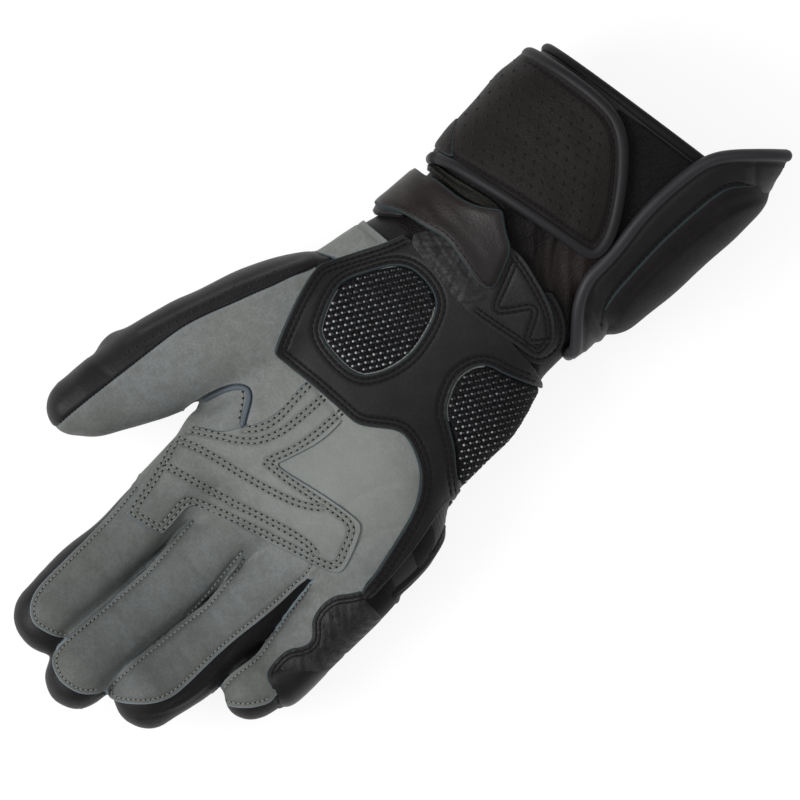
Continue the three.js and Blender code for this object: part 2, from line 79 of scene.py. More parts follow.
# Cuff, wrist and palm: y, left and right side, lowest and highest point
PALM = np.array([
    (-72, -30, 72, 6, 32), (-54, -35.5, 71, 0, 39), (-34, -41, 69.8, -1.5, 42),
    (-24, -43.5, 66.4, -1.7, 42.9), (-13, -46.2, 57.8, -1.9, 43.9), (-6, -48, 55.8, -2, 44.5),
    (22, -46.5, 54.5, -2, 46), (46, -42.5, 46, -2, 47), (68, -43.5, 45.5, -2, 49.5),
    (96, -48, 47, -2, 54.5), (126, -50, 46.8, -2, 58), (185, -48, 44, -2, 60),
])

# Fingers and thumb: centre line x, y, z with half width and half depth
DIGITS = {
    "thumb": [
        (-29, 20, 23, 12, 16), (-41, -14, 24.5, 19.3, 18.5), (-49, -42, 25.5, 19, 16.3),
        (-54.5, -62, 26, 18.2, 15), (-59.5, -81, 27, 15.3, 13.3), (-63.3, -95, 27.5, 11.2, 11),
        (-65.4, -100.8, 28, 7.4, 7.2),
    ],
    "index": [
        (-17, -56, 18.5, 13.5, 13.5), (-14.5, -90, 16.7, 13.1, 12.3), (-12.4, -122, 17.7, 12.8, 12),
        (-11.3, -145, 22.5, 14, 11.4), (-9.7, -157, 26.6, 13.4, 10.2), (-8.2, -163.6, 28.4, 9, 7.4),
    ],
    "middle": [
        (8, -56, 19, 13, 13.5), (12, -90, 17, 12.3, 12.2), (13.2, -122, 17.2, 12.3, 12),
        (13.7, -148, 22.3, 11.9, 11.6), (14.9, -163, 28, 10.8, 10.4), (15.6, -169.6, 29.6, 7.4, 7.2),
    ],
    "ring": [
        (33.5, -56, 19, 13.5, 13.5), (37.6, -88, 17.2, 12.8, 12.3), (40.4, -116, 18, 13.6, 12),
        (39.6, -136, 22, 13.6, 11.8), (38, -149, 26.3, 11.6, 10.7), (36.8, -155.4, 28, 7.6, 7.4),
    ],
    "little": [
        (59, -54, 19, 13.5, 13.5), (62.5, -80, 17.8, 12.6, 12), (65, -101, 18.4, 11, 11),
        (64.8, -115, 21.8, 9.4, 9.2), (63.6, -121.4, 23.4, 6.6, 6.4),
    ],
}

# Round lumps that the skin gains, by their middle x, y, z and three radii:
# webs in the crotches, full fingertips, and the bump on the back of the thumb
LUMPS = [
    (-2.2, -78, 17, 5, 14.5, 10.5), (21.2, -72, 17.5, 5, 14, 11), (45.5, -62, 18, 5, 9.5, 11.5),
    (-9.5, -156.8, 26, 14.8, 14.4, 11.2), (15.2, -163.2, 28, 12.7, 13.8, 11.2),
    (37.8, -148.6, 26.3, 13.4, 13.4, 11.8), (63.9, -115.3, 22.4, 11, 13.4, 10.4),
    (-64.4, -95.2, 27.5, 9.8, 11.3, 10.6), (-70, -70.5, 22, 5.8, 8, 9),
]

# Where the skin is eased: middle x, y, z, three reaches, and rounds
EASED = [
    (20, -68, 36, 70, 9, 13, 40), (-27, 4, 44, 15, 40, 13, 160), (-27, -44, 40, 14, 16, 14, 60),
    (-10, -157, 27, 16, 18, 16, 14), (15, -163, 28, 16, 18, 16, 14), (38, -149, 27, 17, 18, 16, 14),
    (64, -115, 22, 14, 17, 15, 14), (-65, -93, 27, 14, 20, 15, 20), (-68, -70, 22, 11, 13, 13, 16),
    (22, -80, 30, 7, 9, 10, 40), (-2, -86, 27, 7, 9, 10, 40),
]

# Valleys between neighbouring fingers
VALLEYS = {
    "thumb_index": [(-34.5, -60), (-36.5, -72), (-46, -96), (-60, -FAR)],
    "index_middle": [(-4, -60), (-2.6, -92), (0.3, -108), (1.0, -120), (0.9, -160), (2, -FAR)],
    "middle_ring": [(20, -60), (21.5, -87), (25.8, -105), (25.2, -125), (24.6, -160), (29, -FAR)],
    "ring_little": [(46, -60), (47, -80), (52, -98), (54, -110), (54.6, -FAR)],
    "outside": [(FAR, -60), (FAR, -FAR)],
}
ZONES = {
    "index": ("thumb_index", "index_middle"),
    "middle": ("index_middle", "middle_ring"),
    "ring": ("middle_ring", "ring_little"),
    "little": ("ring_little", "outside"),
}

# Grey leather of each finger, up into the palm
FINGER_FRONTS = {
    "index": [
        (-40, -56), (-39, -68), (-36, -80), (-31, -90), (-26.6, -99.5), (-24.2, -111), (-22.9, -125),
        (-22.3, -133), (-21.8, -140), (-21.3, -148), (-20.6, -153.2), (-19, -157.4), (-16, -161),
        (-12, -162.8), (-9.5, -162.6), (-5, -161.1), (-1, -159.2), (1.5, -157.4), (5, -154), (5, -135),
        (5, -120), (4, -110), (2, -100), (0, -92), (2, -80), (2, -58),
    ],
    "middle": [
        (-2.4, -91.5), (-1.4, -98), (-0.2, -105), (0.9, -112), (1.5, -118), (1.4, -125), (1.2, -135),
        (1, -145), (0.8, -155), (1.2, -161), (2.5, -165.2), (5, -167.8), (9, -169.1), (12, -169.5),
        (16, -168.8), (20, -167.3), (23, -164.8), (25.2, -161.5), (27, -157.5), (29, -150), (29, -135),
        (29.5, -122), (29.5, -110), (28, -103), (26, -93), (23, -84), (18, -72), (2, -70),
    ],
    "ring": [
        (21.7, -86.5), (23.7, -93), (25.7, -103), (26.5, -110), (25.8, -116), (25.3, -125), (24.9, -135),
        (24.7, -145), (24.7, -154), (25.5, -158.2), (28, -159.8), (31, -159.2), (34, -157.2),
        (38, -153.2), (41, -149.6), (43.5, -145.2), (45, -140), (45, -133), (44.5, -125), (44, -115),
        (44.2, -105), (44.8, -95), (44.8, -85), (44.3, -76), (44.8, -71.5), (40, -58), (24, -62),
    ],
    "little": [
        (45.4, -71.5), (47.3, -79), (49.8, -90), (51.8, -98), (54.1, -104.5), (54.1, -110), (53.4, -117),
        (53.6, -122), (54.5, -126.6), (58, -129), (62, -127.4), (67, -122.6), (70, -117.6), (71.3, -114),
        (70.8, -110), (69, -105), (69, -98), (73, -92), (84, -88), (84, -60), (60, -52),
    ],
}
ARCH = [
    (-36.4, -64), (-35.4, -60), (-34.4, -54), (-32.6, -48), (-30.3, -43.7), (-28, -41.4), (-25.2, -40.3),
    (-22.3, -41.6), (-20, -44.3), (-17.3, -48.5), (-15.4, -51.2),
]
# The edges of those that are turned and stitched: rows of the tables above, first and last
FINGER_EDGES = {"index": (4, 18), "middle": (0, 18), "ring": (0, 27), "little": (0, 14)}
# How far a finger turns down beside the valley that it ends at, and over what width
VALLEY_DIPS = {"index_middle": (2.5, 4.6), "middle_ring": (1.3, 3.0)}
PALM_FRONT = [
    (-10, 36), (-10, 0), (-8, -20), (-7, -30), (-9, -44), (-13.5, -47), (-17.6, -44.6), (-20.6, -40.6),
    (-25.2, -37.8), (-29.4, -39), (-33, -43), (-35.6, -48), (-37.8, -56), (-41, -64), (-38, -72),
    (-24, -84), (-2.8, -91.5), (21.5, -86), (45.2, -71), (66, -62), (63, -52), (60.5, -42), (58, -31),
    (54, -20), (47, -11), (38, -4), (34, 8), (34, 36),
]
# Lowest edge of the grey leather: y and z along the middle finger, and how far each x lags behind it
FRONT_SEAM = np.array([
    (-185, 33), (-165, 30), (-155, 26.6), (-145, 22.4), (-130, 18), (-115, 15), (-95, 13.5), (-72, 13.5),
    (-60, 16.5), (-48, 19), (60, 19),
])
FRONT_LAG = np.array([(24, 0), (28, 6), (50, 8), (58, 30)])
THUMB_FRONT = [
    (-44, 7), (-47, 0), (-49, -8), (-51.4, -15), (-54.3, -25), (-57, -33), (-59.4, -42), (-60.5, -50),
    (-61, -60), (-61.5, -70), (-62.1, -80), (-62.6, -90), (-63, -100), (-63, -116), (-46, -112),
    (-30, -84), (-34, -69), *ARCH, (-13, -50), (-9, -44), (-7, -30), (-8, -20), (-10, 10), (-44, 10),
]

# Sewn-on panels
HEEL_PATCH = [
    (-30, 47), (-33, 36), (-38, 25), (-42.6, 14), (-44, 9.6), (-40, -2.5), (-35, -13.4), (-29.6, -24),
    (-27.6, -25), (-22, -23.8), (-10, -21.6), (0, -20.3), (8, -19.4), (12, -18.7), (16, -16), (20, -12.2),
    (24, -8.6), (28, -7.3), (33, -8), (40, -10.5), (45, -14), (50, -20), (53, -26), (56, -35), (59, -45),
    (61, -52), (62.2, -60.6), (67.2, -60.6), (66, -50), (64.6, -40), (62.6, -30), (60, -21), (58, -14),
    (57.6, -9), (84, -6), (84, 47),
]
# The side of the hand beyond it: ribbed leather, two smooth patches, and the welt along its outer edge
HAND_SIDE = [
    (48, -2), (53, -16), (56, -27), (58.6, -38), (61, -48), (63, -58), (64, -63.4), (84, -63.4), (84, -2),
]
HAND_WELT = [
    (57.6, -9), (61.4, -13.4), (65.2, -18.4), (68.2, -25), (70, -32), (70.8, -40), (70.8, -47), (70.4, -52.6),
    (84, -55), (84, -7),
]
SIDE_PATCHES = {
    "upper": [
        (53, -18.6), (58.6, -21.4), (65.4, -23.6), (69, -30), (72, -38), (66, -36), (60.4, -33), (55, -28),
    ],
    "lower": [(60, -46.8), (66, -47.4), (72, -49.4), (84, -52), (84, -62.6), (62, -62.6)],
}
HEEL_WINDOW = [
    (-18.6, 37.2), (-7, 37.4), (-0.4, 33.2), (4.4, 21), (5.8, 12), (3.6, 1.2), (-2.2, -7.4), (-22.6, -7.8),
    (-27.6, -0.8), (-32.6, 9.6), (-32.4, 16), (-29.2, 23.2), (-25, 32.4),
]
SIDE_WINDOW = [
    (24, 22.5), (25, 30), (28.6, 34.6), (35, 36.8), (44, 41.6), (53, 46.6), (84, 48), (84, -10),
    (58.5, -6), (50.5, -1), (44.5, 3.6), (37.5, 7.2), (31, 10), (26.6, 16.4),
]
PALM_OVERLAY = [
    (-13.2, -18), (-12.6, -28), (-11.5, -33), (-11.2, -38), (-12, -44), (-13.5, -48.5), (-16.2, -53.5),
    (-19.5, -60), (-25, -64), (-31.5, -68.6), (-34, -72), (-31.3, -77), (-28.6, -85), (-25.6, -95),
    (-22.8, -101.5), *[(-20.2, -108.6)] * 3, (-17, -108.3), (-11, -106.3), *[(-5, -103.1)] * 3,
    (-5.1, -99), (-6, -93.5), (-6.6, -88.6), (-4, -85.2), (5, -81.3), (20, -76.1), (32, -71), (40, -67.8),
    (46, -65.2), (50.2, -62.6), (51.6, -60), (50, -55), (46, -47), (43.4, -43.2), (40, -42.4),
    (25, -45.9), (10, -50.8), (3.4, -52.4), (4.6, -49), (5.6, -45), (6.6, -41), (7.6, -37), (8.3, -31),
    (8, -25), (7.2, -18),
]
LITTLE_OVERLAY = [
    (63, -58), (60, -64), (57, -68), (55.8, -73), (56.5, -78), (58.4, -82), (62, -84.4), (64.2, -87),
    (63.7, -91), (60.6, -95), (60, -100), (61.2, -106.6), (63.4, -108.8), (68, -110), (70.6, -111.6),
    (73, -113.6), (84, -114), (84, -58),
]
LITTLE_SEAM = [(60, -73.4), (66, -76), (72, -78.6), (79, -81.4)]
# Smoother leather at the little finger's side, and the thumb's black strip
LITTLE_GUARD = [
    (84, -84), (76, -90), (70, -95.6), (64.6, -101), (63, -104), (63.6, -107), (66, -108.4), (70.2, -109.6),
    (74, -112), (84, -113),
]
THUMB_BORDER = [
    (-43.8, 10), (-46.6, 0), (-48.6, -8), (-51, -15), (-53.9, -25), (-56.6, -33), (-59, -42), (-60.1, -50),
    (-60.6, -60), (-61.1, -70), (-61.7, -80), (-62.2, -90), (-62.5, -100), (-62.6, -108),
]
THUMB_STRIP = [(-42.2, 16.6), *THUMB_BORDER, (-62.6, -116), (-95, -116), (-95, -2), (-48, 12.8)]
THUMB_PORES = [
    (-48, 2), (-52, -10), (-56, -22), (-59.6, -34), (-62, -46), (-63, -58), (-63.6, -70), (-67.6, -68),
    (-67, -56), (-65, -44), (-62, -30), (-58, -16), (-53, -2), (-50, 4),
]
WRIST_PANEL = [
    (-60, 34), (-46, 34.7), (-32, 36.8), (-20, 38), (-30, 22), (-38, 19), (-42, 17.2), (-48, 13.2), (-60, 4),
]
STRAP_LEAF = [
    (-60, 66), (-46, 66.2), (-38, 66.6), (-28, 67.6), (-21, 69.2), (-16.4, 72.4), (-13.2, 76.8), (-18, 76.6),
    (-25, 74.6), (-32, 72.4), (-41, 70), (-60, 68),
]
LANDING = [
    (-29, 48), (-27.6, 43), (-22, 42.2), (-10, 42.4), (0, 41.5), (10, 42.3), (20, 44.8), (30, 47.8),
    (38, 49.4), (39.6, 52), (39.4, 56), (38, 60), (33, 63.8), (28, 66.6), (20, 68.7), (10, 70.6), (3, 71.1),
    (-12, 66),
]
UNDER_PAD = [(20, 71), (24, 49), (36, 46), (41, 49), (43, 53), (43, 60), (38.4, 66), (30, 70)]
STRAP = [
    (-80, 42), (-47.6, 42), (-42, 46.6), (-35, 49.2), (-28, 50.9), (-22, 53.2), (-17, 54), (-8, 53),
    (0, 52), (5, 52.6), (7, 54.4), (7, 57), (4.6, 62), (2.6, 66), (0, 70), (-6, 72.4), (-10.4, 75.2),
    (-13, 76.8), (-15, 75.6), (-18, 72.8), (-22, 70), (-28, 67.6), (-35, 66.5), (-41, 65.5), (-45, 63),
    (-80, 61),
]
FLAP = [
    (-90, 126), (-52, 126), (-40, 129.4), (-30, 131.4), (-20, 133), (-12, 133.2), (-6, 132), (-1, 129),
    (5, 123.6), (11, 117.4), (17, 110.4), (21, 104.4), (23.4, 98.6), (23.6, 94), (22, 91.6), (10, 88.7),
    (0, 86), (-15, 82), (-28, 78), (-38, 75), (-46, 72), (-90, 72),
]
FLAP_PIPE = [
    (-51, 125.6), (-40, 128.6), (-27, 131.4), (-18, 132.6), (-11, 132.4), (-4, 129.8), (2, 125.3),
    (9, 118.6), (16, 110.2), (20.6, 103.6), (23, 97.6), (23, 93), (20, 91), (10, 88.5), (0, 86),
    (-15, 82), (-28, 78), (-38, 75), (-44.6, 72.2),
]
GUSSET = [(-80, 90), (-51.5, 90), (-49.5, 87.4), (-46, 82.4), (-43, 78.2), (-44, 72), (-80, 72)]
GUSSET_LEAF = [
    (-90, 90.4), (-52.6, 89.6), (-49.6, 84.4), (-46.6, 80.8), (-43.4, 78), (-41.4, 76.6), (-44, 75),
    (-48, 74.2), (-90, 73),
]
STRAP_TURN = [
    (-80, 47), (-46, 47), (-37.4, 48.4), (-38.4, 46.6), (-41.4, 44.4), (-44, 42), (-46, 40.6), (-48, 40.4),
    (-80, 40.4),
]
WING = [
    (43, 174), (38, 168.6), (34, 163.8), (30, 159.2), (26.6, 153.6), (24.6, 148.8), (23.6, 142),
    (23.1, 130), (23.6, 119), (25, 110), (27.2, 100), (28.2, 92), (28.6, 86), (31, 80), (34.6, 75),
    (39.4, 70.4), (44, 66.6), (46.5, 62), (52, 60), (90, 60), (90, 176), (43.6, 176),
]
WING_PIPE = [
    (42.6, 173.4), (38, 168.2), (34, 163.4), (29.6, 158), (26, 152.6), (24, 147), (23.2, 140), (23, 130),
    (23.4, 120), (25, 110), (27.2, 100), (28, 92), (28.4, 85.6), (31, 79.6), (34.6, 74.6), (39.4, 70),
    (43.6, 66.2), (46, 63.4),
]
WING_SIDE = [
    (40, 10), (144, 10), (151, 18), (157, 25), (160.4, 30), (163.4, 38.6), (167, 41.4), (170.6, 43.6),
    (174, 46), (180, 50), (182, 140), (40, 140),
]
GUARD = [
    (90, 76), (50, 76.2), (46, 77.8), (43, 82), (41, 87), (40, 92), (39, 100), (38, 108), (37.3, 116),
    (37, 125), (37, 135), (37.4, 144.4), (39, 149.4), (41.6, 152.8), (45, 156), (49, 159.2), (53, 161.4),
    (90, 162),
]
GUARD_ROW = [
    (45, 157), (41, 154.6), (37.4, 151.6), (35.6, 147), (34.9, 140), (34.7, 130), (35, 120), (35.8, 110),
    (36.8, 101), (38, 92), (39.4, 85.6), (42, 80.6), (46, 76.8),
]
GUARD_CREST = [
    (51, 158), (48.4, 153), (45.6, 146), (44, 138), (43, 128), (42.6, 116), (42.8, 104), (44, 94), (46.2, 86),
    (50, 81),
]
LOOP_TAPE = [(-14, 96), (32, 92), (30, 152), (-14, 152)]

# Soft folds: a line, its height (below zero for a crease) and its half width
WRIST_FOLDS = [
    ([(-2, 84), (4, 80), (10, 74), (16, 70)], 0.55, 2.2), ([(6, 88), (10, 82), (16, 77), (22, 72)], 0.6, 1.8),
    ([(12, 90), (17, 84), (22, 80), (28, 76)], 0.5, 1.7), ([(20, 92), (23, 87), (27, 83)], 0.45, 1.6),
    ([(2, 82), (8, 77), (13, 71)], -0.4, 1.2), ([(9, 86), (14, 79), (20, 74)], -0.4, 1.1),
    ([(-30, 79), (-18, 80), (-8, 82), (2, 85)], -0.4, 1.6), ([(-42, 44), (-38, 40), (-34, 39)], 0.6, 1.4),
    ([(-43, 40), (-39, 36), (-35, 35)], -0.4, 1.1), ([(30, 74), (36, 68), (42, 64)], 0.5, 1.8),
    ([(40, 50), (44, 46), (47, 42)], 0.5, 1.6), ([(39, 46), (43, 43), (46, 40)], -0.35, 1.2),
]
LANDING_FOLDS = [
    ([(-26, 46), (-16, 47.6), (-4, 46.2), (4, 48)], 0.15, 1.2), ([(2, 43), (6, 46), (7, 50)], 0.3, 1.0),
]
LEAF_FOLDS = [
    ([(-50, 67.2), (-36, 68.4), (-26, 70), (-16, 74.6)], 0.4, 0.6),
    ([(-42, 69.4), (-34, 70.6), (-27, 73)], -0.35, 0.7),
]
STRAP_FOLDS = [
    ([(-44, 61), (-30, 61.6), (-14, 62.6), (-4, 62.4)], 0.1, 2.2),
    ([(-44, 57.4), (-30, 58), (-14, 59), (0, 58)], -0.1, 2.0),
    ([(-42, 53), (-30, 55), (-18, 57.4), (-6, 57)], 0.1, 2.2),
    ([(-46, 50), (-38, 51.6), (-30, 54)], -0.15, 1.6), ([(-20, 68), (-12, 70.6), (-4, 68)], -0.1, 2.4),
]
FLAP_FOLDS = [
    ([(-52, 112), (-36, 116), (-20, 117), (-6, 112)], 0.5, 5),
    ([(-52, 96), (-34, 100), (-14, 101), (4, 99)], -0.4, 5),
    ([(-10, 128), (-2, 116), (6, 104), (12, 94)], 0.35, 4),
]
WING_FOLDS = [
    ([(38, 162), (42, 158), (47, 155.6), (52, 155)], -0.45, 1.3),
    ([(36, 158), (41, 153.4), (47, 151.6)], 0.3, 1.4),
    ([(33, 84), (38, 79.6), (44, 77), (50, 76.6)], -0.45, 1.3),
    ([(38, 75.6), (44, 72.6), (50, 71)], -0.4, 1.2),
    ([(36, 78), (42, 74.8), (49, 73.6)], 0.35, 1.4), ([(41, 71), (46, 67.6), (50, 66)], 0.35, 1.4),
]
THUMB_FOLDS = [
    ([(-45.6, 9), (-49, -2), (-53, -13), (-56.6, -25), (-59.8, -37), (-62.4, -49), (-63.6, -60)], -0.2, 0.9),
    ([(-47, 11), (-51.6, -2), (-56, -14), (-60, -27), (-63.4, -40), (-66, -52), (-67.6, -64)], 0.3, 2.0),
    ([(-50, 8), (-55, -6), (-60, -20), (-64, -34), (-67.6, -48), (-70, -58)], -0.25, 1.2),
    ([(-76, -78), (-70, -79.6), (-65, -78.6), (-62, -77)], -0.2, 1.4),
    ([(-73, -82), (-70, -92), (-68.6, -102)], 0.2, 2.6),
]
# Soft creases of the grey leather
PALM_FOLDS = [
    ([(46, -12), (38, -22), (34, -34), (33, -44)], -0.25, 1.6),
    ([(30, -10), (22, -18), (16, -28), (12, -38)], 0.22, 2.0),
    ([(54, -30), (48, -40), (47, -50)], -0.25, 1.4), ([(-24, -98), (-16, -100), (-8, -98)], -0.25, 1.6),
    ([(2, -100), (10, -102), (20, -101)], -0.25, 1.6), ([(28, -98), (35, -99), (42, -97)], -0.25, 1.6),
    ([(-22, -128), (-12, -130), (-2, -128)], -0.2, 1.8), ([(4, -134), (14, -136), (22, -134)], -0.2, 1.8),
    ([(28, -126), (36, -128), (43, -126)], -0.2, 1.8),
]
RING_FOLDS = [
    ([(46, -112), (48.6, -124), (48.8, -136), (46.6, -147)], -0.2, 0.9),
    ([(47.4, -118), (50.4, -130), (49.4, -142), (44.6, -153)], 0.2, 1.0),
    ([(51, -120), (52, -132), (50, -144), (43, -156)], -0.18, 0.9),
]

# Rows of stitches on the palm: double rows by their middle line
PALM_ROWS = [
    [(-11.2, -23), (-10.6, -30), (-9.2, -38), (-9.6, -44), (-11.6, -49), (-15, -53)],
    [
        (-3.8, -22), (-3.8, -38), (-5, -45), (-7.4, -51), (-10.6, -55), (-14.6, -58.6), (-20, -62.3),
        (-25, -65.8), (-29.4, -69.4),
    ],
    [(4.8, -20.5), (5, -35), (3.8, -43), (1.6, -50), (0.4, -54)],
    [
        (0.4, -54.6), (10, -53), (18, -50.8), (25, -48.9), (32, -46.8), (39.6, -45.4), (42.6, -47.4),
        (46, -54.4), (48.4, -59.6), (46.6, -62.8), (36, -67), (30, -69.3), (20, -73.7), (10, -77.7),
        (0, -82.2), (-3.8, -84.2), (-6.4, -85.7), *[(-8.6, -87.4)] * 3, (-8.9, -90.5), (-8.4, -92.7),
        (-7.6, -97.9), *[(-6.9, -102.4)] * 3, *[(-18.9, -106.1)] * 3, (-20.6, -100.6), (-21.4, -97.5),
        (-22.6, -92), (-25.6, -84), (-28.8, -76),
    ],
    [
        (-28.6, -74.6), (-20, -70.3), (-5, -65.8), (5, -62.4), (12, -59.7), (20, -56.1), (25, -52.6),
        (28.6, -49),
    ],
    [
        (-24.8, -84.8), (-10, -79.7), (0, -76.2), (10, -72.1), (20, -67.8), (30, -64.1), (36.5, -62.8),
        (40.4, -63.4),
    ],
]
ARCH_ROW = [(-26, -43.6), (-23.6, -45.4), (-20.8, -49.2), (-17.6, -53)]
MIDDLE_ROW = [(20.4, -84.4), (21.2, -90), (22.4, -97), (23.8, -105), (24.8, -112), (25, -117)]
LANDING_ROW = [
    (5, 68), (9, 60), (14, 48.6), (18.6, 55.4), (23.4, 63.6), (27.6, 57), (31.6, 50), (34.6, 55), (37.4, 59),
]
# Where the flap is perforated
FLAP_HOLES = [
    (-60, 121), (-40, 125), (-15, 127), (-6, 125), (6, 112), (16, 100), (16, 95), (0, 91), (-20, 86),
    (-60, 76),
]


# Curves in the plan
def rounded(points, closed=True):
    """A line of points with its corners cut off, twice over."""
    line = np.array(points, float)
    for _ in range(2):
        following = np.roll(line, -1, axis=0)
        if not closed:
            line, following = line[:-1], following[:-1]
        cut = np.stack([0.75 * line + 0.25 * following, 0.25 * line + 0.75 * following], axis=1)
        cut = cut.reshape(-1, line.shape[1])
        if not closed:
            cut = np.vstack([np.array(points[:1], float), cut, np.array(points[-1:], float)])
        line = cut
    return line


def evenly(line, step):
    """The points at even steps along an open line, in two or three dimensions."""
    lengths = np.linalg.norm(np.diff(line, axis=0), axis=1)
    along = np.concatenate([[0], np.cumsum(lengths)])
    count = max(2, int(round(along[-1] / step)) + 1)
    at = np.linspace(0, along[-1], count)
    return np.stack([np.interp(at, along, line[:, k]) for k in range(line.shape[1])], axis=1)


def beside(line, distance):
    """An open line moved sideways in the plan, to its right where distance is positive."""
    way = np.gradient(line, axis=0)[:, :2]
    way /= np.maximum(np.linalg.norm(way, axis=1, keepdims=True), 1e-9)
    moved = line.copy()
    moved[:, 0] += way[:, 1] * distance
    moved[:, 1] -= way[:, 0] * distance
    return moved


def nearest(points, line, closed=True):
    """The distance of points from a line in the plan, and whether each lies inside it when it is closed."""
    start = line if closed else line[:-1]
    end = np.roll(line, -1, axis=0) if closed else line[1:]
    best = np.full(len(points), 1e9)
    within = np.zeros(len(points), bool)
    x, y = points[:, 0], points[:, 1]
    for (ax, ay), (bx, by) in zip(start, end):
        dx, dy = bx - ax, by - ay
        t = np.clip(((x - ax) * dx + (y - ay) * dy) / max(dx * dx + dy * dy, 1e-12), 0, 1)
        best = np.minimum(best, (x - ax - t * dx) ** 2 + (y - ay - t * dy) ** 2)
        if closed and ay != by:
            crosses = (ay > y) != (by > y)
            within ^= crosses & (x < (y - ay) * dx / dy + ax)
    return np.sqrt(best), within


# Fields: how far each point lies inside something, in millimetres
REACH = 9.0


def inside(outline, axes=(0, 1), reach=REACH):
    """Inside an outline seen from above, or from the side with axes (1, 2)."""
    ring = rounded(outline)
    low, high = ring.min(0) - reach, ring.max(0) + reach

    def field(v):
        p = v[:, axes]
        d = np.full(len(p), -reach)
        close = np.all((p > low) & (p < high), axis=1)
        distance, within = nearest(p[close], ring)
        d[close] = np.minimum(distance, reach) * np.where(within, 1, -1)
        return d

    return field


def outside(field, allowance=0.0):
    return lambda v: -field(v) + allowance


def either(*fields):
    return lambda v: np.max([field(v) for field in fields], axis=0)


def both(*fields):
    return lambda v: np.min([field(v) for field in fields], axis=0)


def above(height):
    return lambda v: v[:, 2] - height


def below(height):
    return lambda v: height - v[:, 2]


def beyond_y(y):
    return lambda v: v[:, 1] - y


def before_y(y):
    return lambda v: y - v[:, 1]


def before_rim(gap=0.0):
    return lambda v: RIM_Y + RIM_SLOPE * v[:, 0] - gap - v[:, 1]


class Sheet:
    """Triangles of the skin: points v, triangles f, and the skin's outward direction n at each point.

    In a lifted sheet each point has six numbers: its place at the panel's height, then its place on the
    skin. Outlines are read at the panel's height, and a finger is told by the place on the skin.
    """

    def __init__(self, v, f, n):
        self.v, self.f, self.n = v, f, n

    def lifted(self, height):
        return Sheet(np.hstack([self.v + self.n * height, self.v]), self.f, self.n)

    def used(self, keep):
        f = self.f[keep]
        names, f = np.unique(f, return_inverse=True)
        return Sheet(self.v[names], f.reshape(-1, 3), self.n[names])

    def near(self, fields, margin=2.5):
        sheet = self
        for field in fields:
            close = field(sheet.v) > -margin
            sheet = sheet.used(close[sheet.f].any(axis=1))
        return sheet

    def refined(self):
        """Every triangle split in four."""
        sides = np.sort(np.concatenate([self.f[:, [0, 1]], self.f[:, [1, 2]], self.f[:, [2, 0]]]), axis=1)
        pairs, which = np.unique(sides, axis=0, return_inverse=True)
        which = which.reshape(3, -1) + len(self.v)
        ab, bc, ca = which
        a, b, c = self.f.T
        f = np.concatenate([
            np.stack(t, axis=1) for t in ((a, ab, ca), (ab, b, bc), (ca, bc, c), (ab, bc, ca))
        ])
        v = np.vstack([self.v, self.v[pairs].mean(axis=1)])
        n = unit(np.vstack([self.n, self.n[pairs].mean(axis=1)]))
        return Sheet(v, f, n).relaxed(2)

    def relaxed(self, rounds, keep_edge=True):
        pairs = self.sides()
        fixed = np.zeros(len(self.v), bool)
        if keep_edge:
            fixed[self.rim_sides().ravel()] = True
        v, n = self.v.copy(), self.n
        count = np.bincount(pairs.ravel(), minlength=len(v))[:, None]
        for _ in range(rounds):
            total = np.zeros_like(v)
            np.add.at(total, pairs[:, 0], v[pairs[:, 1]])
            np.add.at(total, pairs[:, 1], v[pairs[:, 0]])
            moved = 0.5 * v + 0.5 * total / np.maximum(count, 1)
            v = np.where(fixed[:, None], v, moved)
        return Sheet(v, self.f, n)

    def sides(self):
        sides = np.sort(np.concatenate([self.f[:, [0, 1]], self.f[:, [1, 2]], self.f[:, [2, 0]]]), axis=1)
        return np.unique(sides, axis=0)

    def rim_sides(self):
        """The sides that only one triangle has, each in that triangle's direction."""
        sides = np.concatenate([self.f[:, [0, 1]], self.f[:, [1, 2]], self.f[:, [2, 0]]])
        key = np.sort(sides, axis=1)
        _, index, count = np.unique(key, axis=0, return_index=True, return_counts=True)
        return sides[index[count == 1]]

    def clipped(self, field, snap=0.3):
        """What lies where the field is above zero, with its edge exactly along the zero line."""
        v = self.v.copy()
        d = field(v)
        close = np.where(np.abs(d) < snap)[0]
        if len(close):
            step = 0.05
            axes = np.hstack([np.eye(3), np.eye(3)])
            slope = np.stack([field(v[close] + step * axis) - d[close] for axis in axes], axis=1) / step
            size = np.maximum((slope ** 2).sum(axis=1, keepdims=True), 0.3)
            v[close] -= np.hstack([slope, slope]) * d[close][:, None] / size
            d[close] = 0
        s = np.sign(d)[self.f]
        whole = (s >= 0).all(axis=1) & (s > 0).any(axis=1)
        mixed = (s < 0).any(axis=1) & (s > 0).any(axis=1)
        new_v, new_n, cuts, made = [], [], {}, []

        def cut(a, b):
            key = (a, b) if a < b else (b, a)
            if key not in cuts:
                t = d[a] / (d[a] - d[b])
                cuts[key] = len(v) + len(new_v)
                new_v.append(v[a] + t * (v[b] - v[a]))
                new_n.append(self.n[a] + t * (self.n[b] - self.n[a]))
            return cuts[key]

        for triangle in self.f[mixed]:
            ring = []
            for a, b in zip(triangle, np.roll(triangle, -1)):
                if d[a] >= 0:
                    ring.append(a)
                if d[a] * d[b] < 0:
                    ring.append(cut(a, b))
            made += [(ring[0], ring[k], ring[k + 1]) for k in range(1, len(ring) - 1)]
        f = self.f[whole]
        if made:
            f = np.vstack([f, np.array(made)])
            v = np.vstack([v, np.array(new_v)]) if new_v else v
            n = np.vstack([self.n, np.array(new_n)]) if new_n else self.n
        else:
            n = self.n
        return Sheet(v, f, unit(n)).used(slice(None))


def unit(n):
    return n / np.maximum(np.linalg.norm(n, axis=1, keepdims=True), 1e-9)


